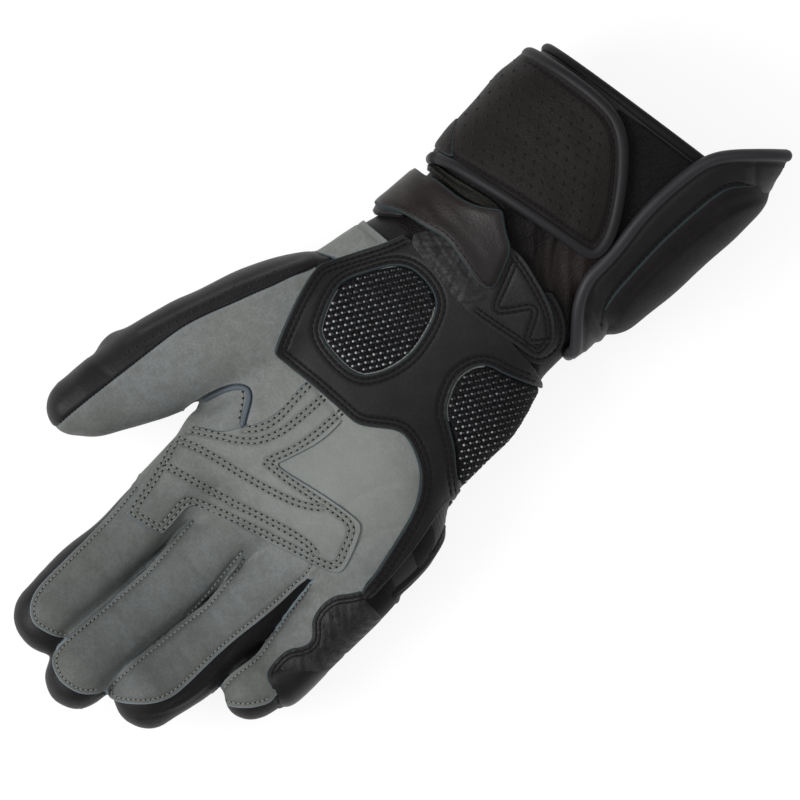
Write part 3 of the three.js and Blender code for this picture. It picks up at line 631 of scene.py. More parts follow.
def directions(v, f):
    face = np.cross(v[f[:, 1]] - v[f[:, 0]], v[f[:, 2]] - v[f[:, 0]])
    n = np.zeros_like(v)
    for k in range(3):
        np.add.at(n, f[:, k], face)
    return unit(n)


# The skin: the sides of the rings that its forms are lofted from, and a lump's rings
PALM_SIDES = 72
DIGIT_SIDES = 48
BALL_SIDES = 24
BALL_RINGS = 12


def spread(rows, step):
    """A table's rows with smooth rows between them, a step apart in its first column."""
    rows = np.array(rows, float)
    at = np.concatenate([[0], np.cumsum(np.linalg.norm(np.diff(rows[:, :3], axis=0), axis=1))])
    slope = np.gradient(rows, at, axis=0)
    fine = np.linspace(0, at[-1], max(2, int(at[-1] / step)))
    k = np.clip(np.searchsorted(at, fine, side="right") - 1, 0, len(at) - 2)
    width = (at[k + 1] - at[k])[:, None]
    t = (fine[:, None] - at[k][:, None]) / width
    a, b = rows[k], rows[k + 1]
    rise = (2 * t ** 3 - 3 * t ** 2 + 1) * a + (3 * t ** 2 - 2 * t ** 3) * b
    lean = (t ** 3 - 2 * t ** 2 + t) * slope[k] + (t ** 3 - t ** 2) * slope[k + 1]
    return rise + 0.8 * lean * width


def oval(sides):
    angle = 2 * np.pi * np.arange(sides) / sides
    c, s = np.cos(angle), np.sin(angle)
    power = 2 / ROUNDNESS
    return np.sign(c) * np.abs(c) ** power, np.sign(s) * np.abs(s) ** power


def loft(rings):
    """Rings of points joined into one closed form."""
    count, sides = len(rings), len(rings[0])
    v = np.vstack([*rings, rings[0].mean(0)[None], rings[-1].mean(0)[None]])
    faces = []
    for i in range(count - 1):
        for j in range(sides):
            a, b = i * sides + j, i * sides + (j + 1) % sides
            faces.append((a, b, b + sides, a + sides))
    last = (count - 1) * sides
    for j in range(sides):
        k = (j + 1) % sides
        faces.append((k, j, count * sides))
        faces.append((last + j, last + k, count * sides + 1))
    return v, faces


def palm_form():
    u, w = oval(PALM_SIDES)
    rings = []
    for y, left, right, low, high in spread(PALM, 4):
        wide, deep = (right - left) / 2 - SLIM, (high - low) / 2 - SLIM
        x, z = (left + right) / 2 + u * wide, (low + high) / 2 + w * deep
        rings.append(np.stack([x, np.full(PALM_SIDES, y), z], 1))
    return loft(rings)


def digit_form(rows):
    u, w = oval(DIGIT_SIDES)
    rows = spread(rows, 2.5)
    middle = rows[:, :3]
    along = unit(np.gradient(middle, axis=0))
    side = unit(np.cross(along, [0, 0, 1]))
    out = np.cross(side, along)
    rings = []
    for c, s, o, (wide, deep) in zip(middle, side, out, rows[:, 3:] - SLIM):
        rings.append(c + np.outer(u * wide, s) + np.outer(w * deep, o))
    tip, way = middle[-1], along[-1]
    for k in (0.5, 0.85, 1.0):
        shrink = math.sqrt(max(1 - k * k, 0.0)) + 0.03
        wide, deep = rows[-1, 3:] - SLIM
        ring = np.outer(u * wide, side[-1]) + np.outer(w * deep, out[-1])
        rings.append(tip + way * wide * 0.7 * k + shrink * ring)
    return loft(rings)


def ball_form(x, y, z, rx, ry, rz):
    angle = 2 * np.pi * np.arange(BALL_SIDES) / BALL_SIDES
    rings = []
    for k in np.linspace(-0.98, 0.98, BALL_RINGS):
        r = math.sqrt(1 - k * k)
        across, up = x + rx * r * np.cos(angle), z + rz * r * np.sin(angle)
        rings.append(np.stack([across, np.full(BALL_SIDES, y + ry * k), up], 1))
    return loft(rings)


def mesh_object(name, v, faces):
    mesh = bpy.data.meshes.new(name)
    mesh.from_pydata(np.asarray(v).tolist(), [], faces)
    piece = bpy.data.objects.new(name, mesh)
    bpy.context.scene.collection.objects.link(piece)
    return piece


def alone(piece):
    bpy.ops.object.select_all(action="DESELECT")
    piece.select_set(True)
    bpy.context.view_layer.objects.active = piece


def apply_all(piece):
    alone(piece)
    for modifier in list(piece.modifiers):
        bpy.ops.object.modifier_apply(modifier=modifier.name)


def triangles(piece):
    mesh = piece.data
    mesh.calc_loop_triangles()
    v = np.zeros(len(mesh.vertices) * 3)
    f = np.zeros(len(mesh.loop_triangles) * 3, np.int32)
    mesh.vertices.foreach_get("co", v)
    mesh.loop_triangles.foreach_get("vertices", f)
    return v.reshape(-1, 3), f.reshape(-1, 3)


def bell(value, width, at=0.0):
    """One at a value, fading on both sides of it."""
    return np.exp(-((value - at) / width) ** 2)


def beyond(value, at, width):
    """Nothing below a value and one above it, with a soft step; the other way round for a width below 0."""
    return 1 / (1 + np.exp(np.clip(-(value - at) / width, -40, 40)))


def hump(v, x, y, z, rx, ry, rz):
    """A smooth bell over a place, one at its middle."""
    return np.exp(-((v[:, 0] - x) / rx) ** 2 - ((v[:, 1] - y) / ry) ** 2 - ((v[:, 2] - z) / rz) ** 2)


def ripple(v, seed, length, height):
    """Soft unevenness made of a few long waves."""
    rng = np.random.default_rng(seed)
    total = np.zeros(len(v))
    for _ in range(7):
        way = rng.normal(size=3)
        way *= 2 * np.pi / (length * rng.uniform(0.7, 1.6) * np.linalg.norm(way))
        total += np.sin(v @ way + rng.uniform(0, 6.28))
    return total * height / 3


def eased(v, pairs, weight, rounds):
    """Points drawn towards the middle of their neighbours, as far as each one's weight lets them."""
    close = np.where(weight > 0.02)[0]
    touched = np.isin(pairs, close).any(axis=1)
    a, b = pairs[touched].T
    count = np.maximum(np.bincount(a, minlength=len(v)) + np.bincount(b, minlength=len(v)), 1)
    share = 0.6 * weight[close]
    v = v.copy()
    for _ in range(rounds):
        for k in range(v.shape[1]):
            total = np.bincount(a, v[b, k], len(v)) + np.bincount(b, v[a, k], len(v))
            v[close, k] += share * (total[close] / count[close] - v[close, k])
    return v


def make_skin():
    digits = [digit_form(rows) for rows in DIGITS.values()]
    lumps = [ball_form(*lump) for lump in LUMPS]
    points, joined, first = [], [], 0
    for v, faces in [palm_form(), *digits, *lumps]:
        points.append(v)
        joined += [tuple(first + i for i in face) for face in faces]
        first += len(v)
    piece = mesh_object("skin", np.vstack(points), joined)
    remesh = piece.modifiers.new("cells", "REMESH")
    remesh.mode = "VOXEL"
    remesh.voxel_size = VOXEL
    soften = piece.modifiers.new("soften", "SMOOTH")
    soften.factor = 0.5
    soften.iterations = 8
    apply_all(piece)
    v, f = triangles(piece)
    bpy.data.objects.remove(piece)
    pairs = Sheet(v, f, v).sides()
    for x, y, z, rx, ry, rz, rounds in EASED:
        v = eased(v, pairs, np.minimum(1.6 * hump(v, x, y, z, rx, ry, rz), 1), rounds)
    n = directions(v, f)
    top = np.clip((v[:, 2] - 18) / 10, 0, 1)
    lift = ripple(v, 3, 34, 0.35) + ripple(v, 5, 13, 0.1) * top
    # The hollow of the palm, the ball of the thumb and the waist of the wrist
    lift -= 1.6 * hump(v, 14, -34, 42, 26, 17, 14)
    lift += 1.0 * hump(v, -36, -20, 42, 12, 20, 14)
    lift -= 0.9 * hump(v, 2, 62, 50, 60, 9, 60) * top
    v = v + n * lift[:, None]
    v[:, 2] = np.maximum(v[:, 2], TABLE)
    skin = Sheet(v, f, n).relaxed(2, keep_edge=False)
    skin.v[:, 2] = np.maximum(skin.v[:, 2], TABLE)
    n = directions(skin.v, f)
    return Sheet(skin.v, f, n)


# Materials
class Wire:
    """A shader socket, with the operators of a number."""

    def __init__(self, finish, socket):
        self.finish, self.socket = finish, socket

    def math(self, operation, *values):
        inputs = {i: value for i, value in enumerate(values)}
        return self.finish.node("ShaderNodeMath", {"operation": operation}, inputs)

    def __add__(self, other):
        return self.math("ADD", self, other)

    __radd__ = __add__

    def __sub__(self, other):
        return self.math("SUBTRACT", self, other)

    def __rsub__(self, other):
        return self.math("SUBTRACT", other, self)

    def __mul__(self, other):
        return self.math("MULTIPLY", self, other)

    __rmul__ = __mul__

    def over(self, edge, width):
        """0 below an edge and 1 above it, over a width."""
        clamped = {"operation": "MULTIPLY", "use_clamp": True}
        return self.finish.node("ShaderNodeMath", clamped, {0: self - edge, 1: 1.0 / width})


class Finish:
    """A material under construction."""

    def __init__(self, name, roughness=0.5, **constants):
        self.material = bpy.data.materials.new(name)
        self.material.use_nodes = True
        self.tree = self.material.node_tree
        self.shader = self.tree.nodes["Principled BSDF"]
        self.set("Roughness", roughness)
        for socket, value in constants.items():
            self.set(socket.replace("_", " "), value)
        self.place = self.node("ShaderNodeTexCoord", {}, {}, "Object")

    def node(self, kind, settings, inputs, output=0):
        made = self.tree.nodes.new(kind)
        for key, value in settings.items():
            setattr(made, key, value)
        for key, value in inputs.items():
            if isinstance(value, Wire):
                self.tree.links.new(value.socket, made.inputs[key])
            else:
                made.inputs[key].default_value = value
        return Wire(self, made.outputs[output])

    def set(self, socket, value):
        if isinstance(value, Wire):
            self.tree.links.new(value.socket, self.shader.inputs[socket])
        else:
            self.shader.inputs[socket].default_value = value

    def noise(self, size, detail=2.0, roughness=0.5, where=None):
        """Noise whose blobs are about size millimetres across."""
        inputs = {"Vector": where or self.place, "Scale": 1 / (size * MM)}
        inputs |= {"Detail": detail, "Roughness": roughness}
        return self.node("ShaderNodeTexNoise", {}, inputs, "Fac")

    def cells(self, size, feature="F1"):
        inputs = {"Vector": self.place, "Scale": 1 / (size * MM)}
        return self.node("ShaderNodeTexVoronoi", {"feature": feature}, inputs, "Distance")

    def along(self, axis):
        """The place along one axis of the frame, in metres."""
        return self.node("ShaderNodeSeparateXYZ", {}, {"Vector": self.place}, axis)

    def mix(self, factor, one, two):
        """One colour turning into another: sockets 6 and 7 are the mix node's two colours."""
        made = self.tree.nodes.new("ShaderNodeMix")
        made.data_type = "RGBA"
        for index, value in ((0, factor), (6, one), (7, two)):
            if isinstance(value, Wire):
                self.tree.links.new(value.socket, made.inputs[index])
            else:
                made.inputs[index].default_value = value if index == 0 else (*value, 1.0)
        return Wire(self, made.outputs[2])

    def value(self, name):
        """A number stored on the mesh's points."""
        return self.node("ShaderNodeAttribute", {"attribute_name": name}, {}, "Fac")

    def bump(self, height, distance):
        """Relief of the surface, with its depth in millimetres."""
        inputs = {"Height": height, "Distance": distance * MM, "Strength": 1.0}
        self.set("Normal", self.node("ShaderNodeBump", {}, inputs, "Normal"))


def times(colour, share):
    """A colour made darker or paler."""
    return tuple(share * c for c in colour)


def leather(name, colour, second, roughness, grain, depth, crease=0.0, specular=0.3, painted_fingertip_shade=0.0, painted_light=None):
    """Leather: two tones in soft patches, pebbled grain, darker along its stitch rows and paler at its edges.

    With a painted fingertip shade, it is painted darker towards the fingertips, as shade. It can be painted
    paler about one place as a pool of light, which is given with where the change begins, its width, its
    share and how many times paler it is.
    """
    finish = Finish(name, Specular_IOR_Level=specular)
    patches = finish.noise(38, 3).over(0.38, 0.26)
    clouds = finish.noise(9, 4, 0.6).over(0.42, 0.2)
    speckle = finish.noise(1.1, 3, 0.6)
    base = finish.mix(patches, colour, second)
    base = finish.mix(clouds * 0.5, base, times(colour, 0.82))
    dark = times(colour, 0.66)
    base = finish.mix((speckle - 0.5) * 2.2 + 0.18, base, dark)
    base = finish.mix((finish.noise(4.2, 3, 0.6) - 0.5) * 2.2 + 0.12, base, dark)
    # Painted shade: the colour turns darker towards the fingertips, standing in for the dimmer light there.
    if painted_fingertip_shade:
        base = finish.mix((1.0 - finish.along("Y").over(-0.115, 0.055)) * painted_fingertip_shade, base, (0.02, 0.02, 0.021))
    # Painted light: the colour is painted paler about one place.
    if painted_light:
        place, start, width, share, paler = painted_light
        measured = {"operation": "DISTANCE"}
        away = finish.node("ShaderNodeVectorMath", measured, {0: finish.place, 1: place}, "Value")
        base = finish.mix((1.0 - away.over(start, width)) * share, base, times(colour, paler))
    near_seam = finish.value("seam")
    base = finish.mix(near_seam * 0.42, base, times(colour, 0.5))
    worn = finish.value("edge")
    light = tuple(min(1.0, 1.25 * c + 0.004) for c in second)
    base = finish.mix(worn * 0.5, base, light)
    finish.set("Base Color", base)
    pebbles = finish.cells(grain)
    fine = finish.noise(grain * 0.45, 2)
    folds = finish.noise(9, 4, 0.62)
    wide = finish.noise(3.2, 3, 0.6)
    height = pebbles * 0.6 + fine * 0.35 + wide * 0.7 + folds * crease
    finish.bump(height, depth)
    finish.set("Roughness", roughness + (speckle - 0.5) * 0.18 - worn * 0.06 + near_seam * 0.05)
    return finish.material


def brushed_sheen_leather(name, colour, second):
    """Smooth leather with faint paler strokes along it, partly a brushed pattern and partly painted sheen,
    and painted shade towards its free end.
    """
    finish = Finish(name, Specular_IOR_Level=0.3)
    turned = {"Vector": finish.place, "Rotation": (0, 0, math.radians(8)), "Scale": (0.2, 1.0, 1.0)}
    strokes = finish.noise(3.4, 3, 0.6, finish.node("ShaderNodeMapping", {}, turned, "Vector"))
    speckle = finish.noise(1.1, 3, 0.6)
    base = finish.mix(strokes.over(0.48, 0.22), colour, second)
    base = finish.mix((speckle - 0.5) * 0.8 + 0.2, base, times(colour, 0.7))
    # Painted shade: darker towards the strap's free end, where it turns away from the light.
    base = finish.mix(finish.along("X").over(-0.028, 0.02) * 0.9, base, times(colour, 0.45))
    finish.set("Base Color", finish.mix(finish.value("edge") * 0.5, base, times(second, 1.3)))
    finish.set("Roughness", 0.5 + (speckle - 0.5) * 0.15 - strokes * 0.08)
    finish.bump(finish.cells(0.9) * 0.6 + speckle * 0.4 + strokes * 1.2, 0.09)
    return finish.material


def cut_edge(name, colour):
    finish = Finish(name)
    fibre = finish.noise(0.5, 3, 0.7)
    finish.set("Base Color", finish.mix(fibre, times(colour, 0.7), times(colour, 1.25)))
    finish.set("Roughness", 0.78 + (fibre - 0.5) * 0.15)
    finish.bump(fibre, 0.12)
    return finish.material


def piping_leather(name, dark, light, specular):
    finish = Finish(name, Specular_IOR_Level=specular)
    patch = finish.noise(12, 3)
    finish.set("Base Color", finish.mix(patch, dark, light))
    finish.set("Roughness", 0.42 + patch * 0.2)
    finish.bump(finish.noise(0.6, 3, 0.6) * 0.5 + finish.noise(4, 2), 0.07)
    return finish.material


def grip_weave(name):
    """Black woven ground: small knots in staggered rows, paler on the knots, with painted shade in the gaps
    between them.
    """
    finish = Finish(name, Specular_IOR_Level=0.15)
    knots = finish.cells(0.8, "SMOOTH_F1")
    fuzz = finish.noise(0.4, 2)
    low = knots.over(0.1, 0.45)
    # Painted shade: the low gaps between the knots are painted darker.
    finish.set("Base Color", finish.mix(low, (0.018, 0.018, 0.020), (0.003, 0.003, 0.0035)))
    finish.set("Roughness", 0.75 + fuzz * 0.2)
    finish.bump(1.0 - knots * 1.1 + fuzz * 0.2, 0.5)
    return finish.material


def ribbed_fabric(name):
    """Tough woven fabric with fine diagonal ribs."""
    finish = Finish(name, Specular_IOR_Level=0.3)
    ribs = finish.node("ShaderNodeTexWave", {"bands_direction": "DIAGONAL"}, {
        "Vector": finish.place, "Scale": 160.0, "Distortion": 1.5, "Detail": 2.0, "Detail Scale": 2.0,
    }, "Fac")
    pebbles = finish.cells(0.9)
    worn = finish.noise(7, 4, 0.6).over(0.4, 0.22)
    finish.set("Base Color", finish.mix(worn, (0.0105, 0.0100, 0.0105), (0.033, 0.0315, 0.0335)))
    finish.set("Roughness", 0.5 + ribs * 0.15)
    finish.bump(ribs * 0.6 + pebbles * 0.8 + finish.noise(4, 3, 0.6) * 1.5, 0.24)
    return finish.material


def dot_rubber(name):
    """Pale rubber, darker in places at random and darker towards the cuff."""
    finish = Finish(name, roughness=0.42)
    shade = finish.noise(5, 3, 0.6) * 1.2 - finish.along("Y") * 18.0
    finish.set("Base Color", finish.mix(shade.over(0.05, 0.55), (0.06, 0.065, 0.070), (0.44, 0.465, 0.48)))
    return finish.material


def fuzzy_tape(name):
    finish = Finish(name, Specular_IOR_Level=0.2)
    fuzz = finish.noise(0.8, 5, 0.75)
    finish.set("Base Color", finish.mix(fuzz.over(0.35, 0.4), (0.003, 0.003, 0.003), (0.021, 0.020, 0.021)))
    finish.set("Roughness", 0.9 + fuzz * 0.05)
    finish.bump(fuzz, 0.8)
    return finish.material


def sewing_thread(name, colour, specular=0.5):
    finish = Finish(name, roughness=0.55, Specular_IOR_Level=specular)
    twist = finish.noise(0.35, 2)
    finish.set("Base Color", finish.mix(twist, times(colour, 0.6), times(colour, 1.3)))
    finish.bump(twist, 0.05)
    return finish.material


def plain(name, colour):
    finish = Finish(name, roughness=0.9)
    tone = finish.noise(30, 2)
    finish.set("Base Color", finish.mix(tone, times(colour, 0.96), colour))
    return finish.material


# Painted light: where the palm is painted paler as a pool of light and the wrist as a highlight, in the frame
PALM_PAINTED_LIGHT = ((0.022, -0.034, 0.040), 0.010, 0.034, 0.6, 1.45)
WRIST_PAINTED_HIGHLIGHT = ((0.019, 0.084, 0.050), 0.004, 0.012, 0.85, 5.0)

# Leathers: two tones, roughness, size and depth of the grain, depth of the creases, specular level
# The grey leather has painted shade towards the fingertips and a painted pool of light on the palm.
GREY = leather("grey_leather", (0.207, 0.217, 0.203), (0.209, 0.225, 0.228),
               0.62, 0.7, 0.10, painted_fingertip_shade=0.36, painted_light=PALM_PAINTED_LIGHT)
BLACK = leather("black_leather", (0.0100, 0.0088, 0.0092), (0.0145, 0.0128, 0.0138),
                0.5, 0.85, 0.10, 0.5, 0.28)
SMOOTH = leather("smooth_leather", (0.0080, 0.0075, 0.0082), (0.0120, 0.0112, 0.0122),
                 0.42, 0.9, 0.05, 0.4, 0.35)
MATT = leather("matt_leather", (0.0035, 0.0033, 0.0036), (0.0050, 0.0046, 0.0050),
               0.6, 0.8, 0.05, 0.3, 0.15)
PAD = leather("pad_leather", (0.0205, 0.0187, 0.0198), (0.0260, 0.0238, 0.0252),
              0.5, 0.85, 0.14, 0.6, 0.25)
LEAF = leather("leaf_leather", (0.0110, 0.0108, 0.0086), (0.0175, 0.0168, 0.0130),
               0.6, 0.9, 0.25, 1.4, 0.2)
FLAP_BLACK = leather("flap_leather", (0.0098, 0.0080, 0.0073), (0.0132, 0.0106, 0.0097),
                     0.58, 0.8, 0.20, 0.4, 0.18)
GUARD_BLACK = leather("guard_leather", (0.0115, 0.0100, 0.0100), (0.0150, 0.0130, 0.0130),
                      0.6, 0.85, 0.12, 0.4, 0.16)
# The creased wrist leather is dark, partly its own dark brown and partly painted shade of the hollow under
# the flap, with a painted highlight about one place.
CREASED = leather("creased_leather", (0.0042, 0.0031, 0.0028), (0.0070, 0.0053, 0.0048),
                  0.55, 0.9, 0.34, 1.6, 0.16, painted_light=WRIST_PAINTED_HIGHLIGHT)
BINDING = leather("binding_leather", (0.0050, 0.0044, 0.0046), (0.0074, 0.0066, 0.0070),
                  0.55, 0.8, 0.06, 0.3, 0.2)
STRAP_LEATHER = brushed_sheen_leather("strap_leather", (0.0112, 0.0074, 0.0066), (0.0205, 0.0145, 0.0130))
RIBBED = ribbed_fabric("ribbed_fabric")
EDGE_GREY = cut_edge("cut_edge_blue_grey", (0.100, 0.126, 0.150))
EDGE_PALE = cut_edge("cut_edge_pale_blue", (0.185, 0.235, 0.265))
EDGE_BLACK = cut_edge("cut_edge_teal", (0.019, 0.033, 0.037))
PIPING = piping_leather("black_piping", (0.016, 0.0155, 0.0185), (0.028, 0.027, 0.032), 0.4)
DARK_PIPING = piping_leather("dark_piping", (0.0085, 0.0080, 0.0095), (0.0140, 0.0135, 0.0160), 0.28)
WEAVE = grip_weave("grip_weave")
DOTS = dot_rubber("grip_dots")
FUZZ = fuzzy_tape("loop_tape")
THREAD_GREY = sewing_thread("thread_on_grey", (0.225, 0.230, 0.215))
THREAD_BLACK = sewing_thread("thread_on_black", (0.0130, 0.0120, 0.0125), 0.1)
KNOT = sewing_thread("woven_knots", (0.030, 0.030, 0.033))
# Needle holes: dark discs, painted shade where the holes are.
HOLE_SHADE = plain("needle_hole_shade", (0.004, 0.0035, 0.003))
HOLE_SHADE_ON_BLACK = plain("hole_shade_in_black", (0.0015, 0.0015, 0.0015))


# Pieces: the most triangles of some large ones and of any other, past which the least needed are merged
MOST_TRIANGLES = {"palm_cover": 190000, "wrist_shell": 115000, "ring_shell": 105000, "thumb_strip": 60000}
MOST_IN_OTHERS = 90000


def finished(name, v, f, materials, indices=None, values=None, angle=42, slot=None, nodes=()):
    """A mesh in millimetres about the palm becomes a piece in the frame."""
    mesh = bpy.data.meshes.new(name)
    place = ((v - MIDDLE) * MM).astype(np.float32)
    mesh.vertices.add(len(place))
    mesh.vertices.foreach_set("co", place.ravel())
    mesh.loops.add(len(f) * 3)
    mesh.loops.foreach_set("vertex_index", f.astype(np.int32).ravel())
    mesh.polygons.add(len(f))
    mesh.polygons.foreach_set("loop_start", np.arange(0, len(f) * 3, 3, dtype=np.int32))
    mesh.polygons.foreach_set("loop_total", np.full(len(f), 3, np.int32))
    for material in materials:
        mesh.materials.append(material)
    if indices is not None:
        mesh.polygons.foreach_set("material_index", indices.astype(np.int32))
    for key, numbers in (values or {}).items():
        stored = mesh.attributes.new(key, "FLOAT", "POINT")
        stored.data.foreach_set("value", numbers.astype(np.float32))
    mesh.update()
    mesh.validate()
    piece = bpy.data.objects.new(name, mesh)
    bpy.context.scene.collection.objects.link(piece)
    alone(piece)
    most = MOST_TRIANGLES.get(name, MOST_IN_OTHERS)
    if len(f) > most:
        piece.modifiers.new("thin", "DECIMATE").ratio = most / len(f)
        bpy.ops.object.modifier_apply(modifier="thin")
    bpy.ops.object.shade_smooth_by_angle(angle=math.radians(angle))
    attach(piece, "root")
    if nodes:
        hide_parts(*nodes)
    return piece


def rows_distance(v, rows, reach=ROW_REACH):
    """The distance in the plan from the nearest of some stitch rows."""
    best = np.full(len(v), reach)
    for row in rows:
        low, high = row[:, :2].min(0) - reach, row[:, :2].max(0) + reach
        close = np.all((v[:, :2] > low) & (v[:, :2] < high), axis=1)
        if close.any():
            distance, _ = nearest(v[close, :2], row[:, :2], closed=False)
            best[close] = np.minimum(best[close], distance)
    return best


class Panel:
    """A panel cut from the skin by fields, between a low and a high height above it.

    Its edge is crowned, flared and bevelled, and its stitch rows lie in grooves. Lips, folds and a shape
    are added to its height. Its top is kept as a tree, for what is laid on it.
    """

    def __init__(self, name, fields, low, high, material, edge, slot, nodes=(), fine=True, crown=0.0,
                 crown_width=3.0, grooves=(), groove=0.3, groove_width=0.8, flare=0.22, bevel=0.25,
                 shape=None, sinks=False, folds=(), lip=0.0, lip_lines=(), pad=None, edged=None):
        sheet = SKIN.lifted(high).near(fields)
        if fine:
            sheet = sheet.refined()
        for field in fields:
            sheet = sheet.clipped(field)
        plan, v, f, n = sheet.v, sheet.v[:, 3:], sheet.f, sheet.n
        d = np.maximum(np.min([field(plan) for field in fields], axis=0), 0)
        rise = np.full(len(v), float(high))
        if crown:
            rise -= crown * bell(d, crown_width)
        if lip:
            rise += lip * bell(rows_distance(plan, lip_lines), 1.1, at=0.2)
        for line, height, width in folds:
            away = rows_distance(plan, [evenly(rounded(line, closed=False), 1.0)], 3 * width)
            rise += height * bell(away, width)
        seam = np.full(len(v), ROW_REACH)
        if len(grooves):
            seam = rows_distance(plan, grooves)
            rise -= groove * bell(seam, groove_width)
        floor = np.full(len(v), float(low))
        if shape is not None:
            rise += shape(plan)
            if sinks:
                floor += np.minimum(shape(plan), 0)
        rise = np.maximum(rise, floor + THINNEST)
        top, bottom = v + n * rise[:, None], v + n * floor[:, None]
        top[:, 2] = np.maximum(top[:, 2], TABLE)
        bottom[:, 2] = np.maximum(bottom[:, 2], TABLE)
        sides = sheet.rim_sides()
        ring = np.unique(sides)
        outward = self.outward(v, n, sides)[ring]
        lower = bottom[ring] + outward * flare
        upper = top[ring] + outward * (flare * 0.4 - bevel * 0.2) - n[ring] * bevel * 0.5
        top[ring] -= outward * bevel
        points = np.vstack([top, bottom, lower, upper])
        faces = self.walled(f, sides, ring, len(v))
        cut = np.ones(len(sides), int) if edged is None else edged(plan[sides[:, 0]]).astype(int)
        index = np.zeros(len(faces), int)
        index[2 * len(f):2 * len(f) + 4 * len(sides)] = np.tile(cut, 4)
        values = {
            key: np.concatenate([value, value, value[ring], value[ring]])
            for key, value in (("seam", bell(seam, 1.1)), ("edge", WORN * bell(d, 1.2)))
        }
        self.piece = finished(name, points, faces, [material, edge], index, values, slot=slot, nodes=nodes)
        self.tree = BVHTree.FromPolygons(top.tolist(), f.tolist())

    @staticmethod
    def walled(f, sides, ring, count):
        """Faces of the top, of the bottom and of the wall, which has a lower and an upper ring of points."""
        place = np.full(count, -1)
        place[ring] = np.arange(len(ring))
        a, b = sides.T
        la, lb = place[a] + 2 * count, place[b] + 2 * count
        ua, ub = la + len(ring), lb + len(ring)
        strips = []
        for p, q, r, s in ((b, a, ua, ub), (ub, ua, la, lb), (lb, la, a + count, b + count)):
            strips += [np.stack([p, q, r], 1), np.stack([p, r, s], 1)]
        return np.vstack([f, f[:, ::-1] + count, *strips])

    @staticmethod
    def outward(v, n, sides):
        """At each rim point, the direction along the skin that leaves the panel."""
        total = np.zeros_like(v)
        way = np.cross(v[sides[:, 1]] - v[sides[:, 0]], n[sides[:, 0]])
        np.add.at(total, sides[:, 0], way)
        np.add.at(total, sides[:, 1], way)
        total -= n * (total * n).sum(axis=1, keepdims=True)
        return unit(total)


def dropped(line, panels, lift=0.0):
    """Points of a plan line on the highest of some panels, with the surface's direction; misses left out."""
    found = []
    for x, y in line[:, :2]:
        best = None
        for panel in panels:
            place, n, _, _ = panel.tree.ray_cast(Vector((x, y, DROP_HEIGHT)), Vector((0, 0, -1)))
            if place is not None and (best is None or place.z > best[0].z):
                best = (place, n)
        if best is None:
            found.append(None)
        else:
            place, n = np.array(best[0]), np.array(best[1])
            n = n if n[2] > 0 else -n
            found.append((place + n * lift, n))
    return found


def capsule():
    """A short thread lying along X, one long and one wide, thinned at its ends."""
    profile = [(-0.5, 0.0), (-0.44, 0.32), (-0.22, 0.5), (0.22, 0.5), (0.44, 0.32), (0.5, 0.0)]
    corners = 6
    v = [(profile[0][0], 0, 0)]
    for x, r in profile[1:-1]:
        for k in range(corners):
            angle = 2 * math.pi * k / corners
            v.append((x, r * math.cos(angle), r * math.sin(angle)))
    v.append((profile[-1][0], 0, 0))
    f = []
    for k in range(corners):
        f.append((0, 1 + (k + 1) % corners, 1 + k))
    for i in range(len(profile) - 3):
        for k in range(corners):
            a, b = 1 + i * corners + k, 1 + i * corners + (k + 1) % corners
            f += [(a, b, b + corners), (a, b + corners, a + corners)]
    last = 1 + (len(profile) - 3) * corners
    for k in range(corners):
        f.append((last + k, last + (k + 1) % corners, len(v) - 1))
    return np.array(v), np.array(f)


def button(height=0.35, corners=8, under=0.25):
    """A small round dome or disc on the XY plane, one across."""
    rings = [(0.5, -under), (0.5, 0.0), (0.36, 0.72 * height)]
    v = [(0, 0, -under)]
    for r, z in rings:
        for k in range(corners):
            angle = 2 * math.pi * k / corners
            v.append((r * math.cos(angle), r * math.sin(angle), z))
    v.append((0, 0, height))
    f = []
    for k in range(corners):
        j = (k + 1) % corners
        f.append((0, 1 + j, 1 + k))
        for i in range(len(rings) - 1):
            a, b = 1 + i * corners + k, 1 + i * corners + j
            f += [(a, b, b + corners), (a, b + corners, a + corners)]
        top = 1 + (len(rings) - 1) * corners
        f.append((top + k, top + j, len(v) - 1))
    return np.array(v), np.array(f)


def scattered(shape, places, ways, normals, sizes):
    """Copies of a small shape: its X along ways, its Z along normals, scaled by sizes."""
    v, f = shape
    n = unit(np.array(normals))
    x = unit(np.array(ways) - n * (np.array(ways) * n).sum(axis=1, keepdims=True))
    y = np.cross(n, x)
    size = np.array(sizes)
    points = (
        np.array(places)[:, None]
        + v[None, :, :1] * size[:, None, :1] * x[:, None]
        + v[None, :, 1:2] * size[:, None, 1:2] * y[:, None]
        + v[None, :, 2:] * size[:, None, 2:] * n[:, None]
    )
    faces = f[None] + (np.arange(len(points)) * len(v))[:, None, None]
    return points.reshape(-1, 3), faces.reshape(-1, 3)


# How far a thread's middle and a needle hole lie above the leather, and how unevenly threads are turned
THREAD_LIFT = 0.08
HOLE_LIFT = 0.02
SLANT = 0.05


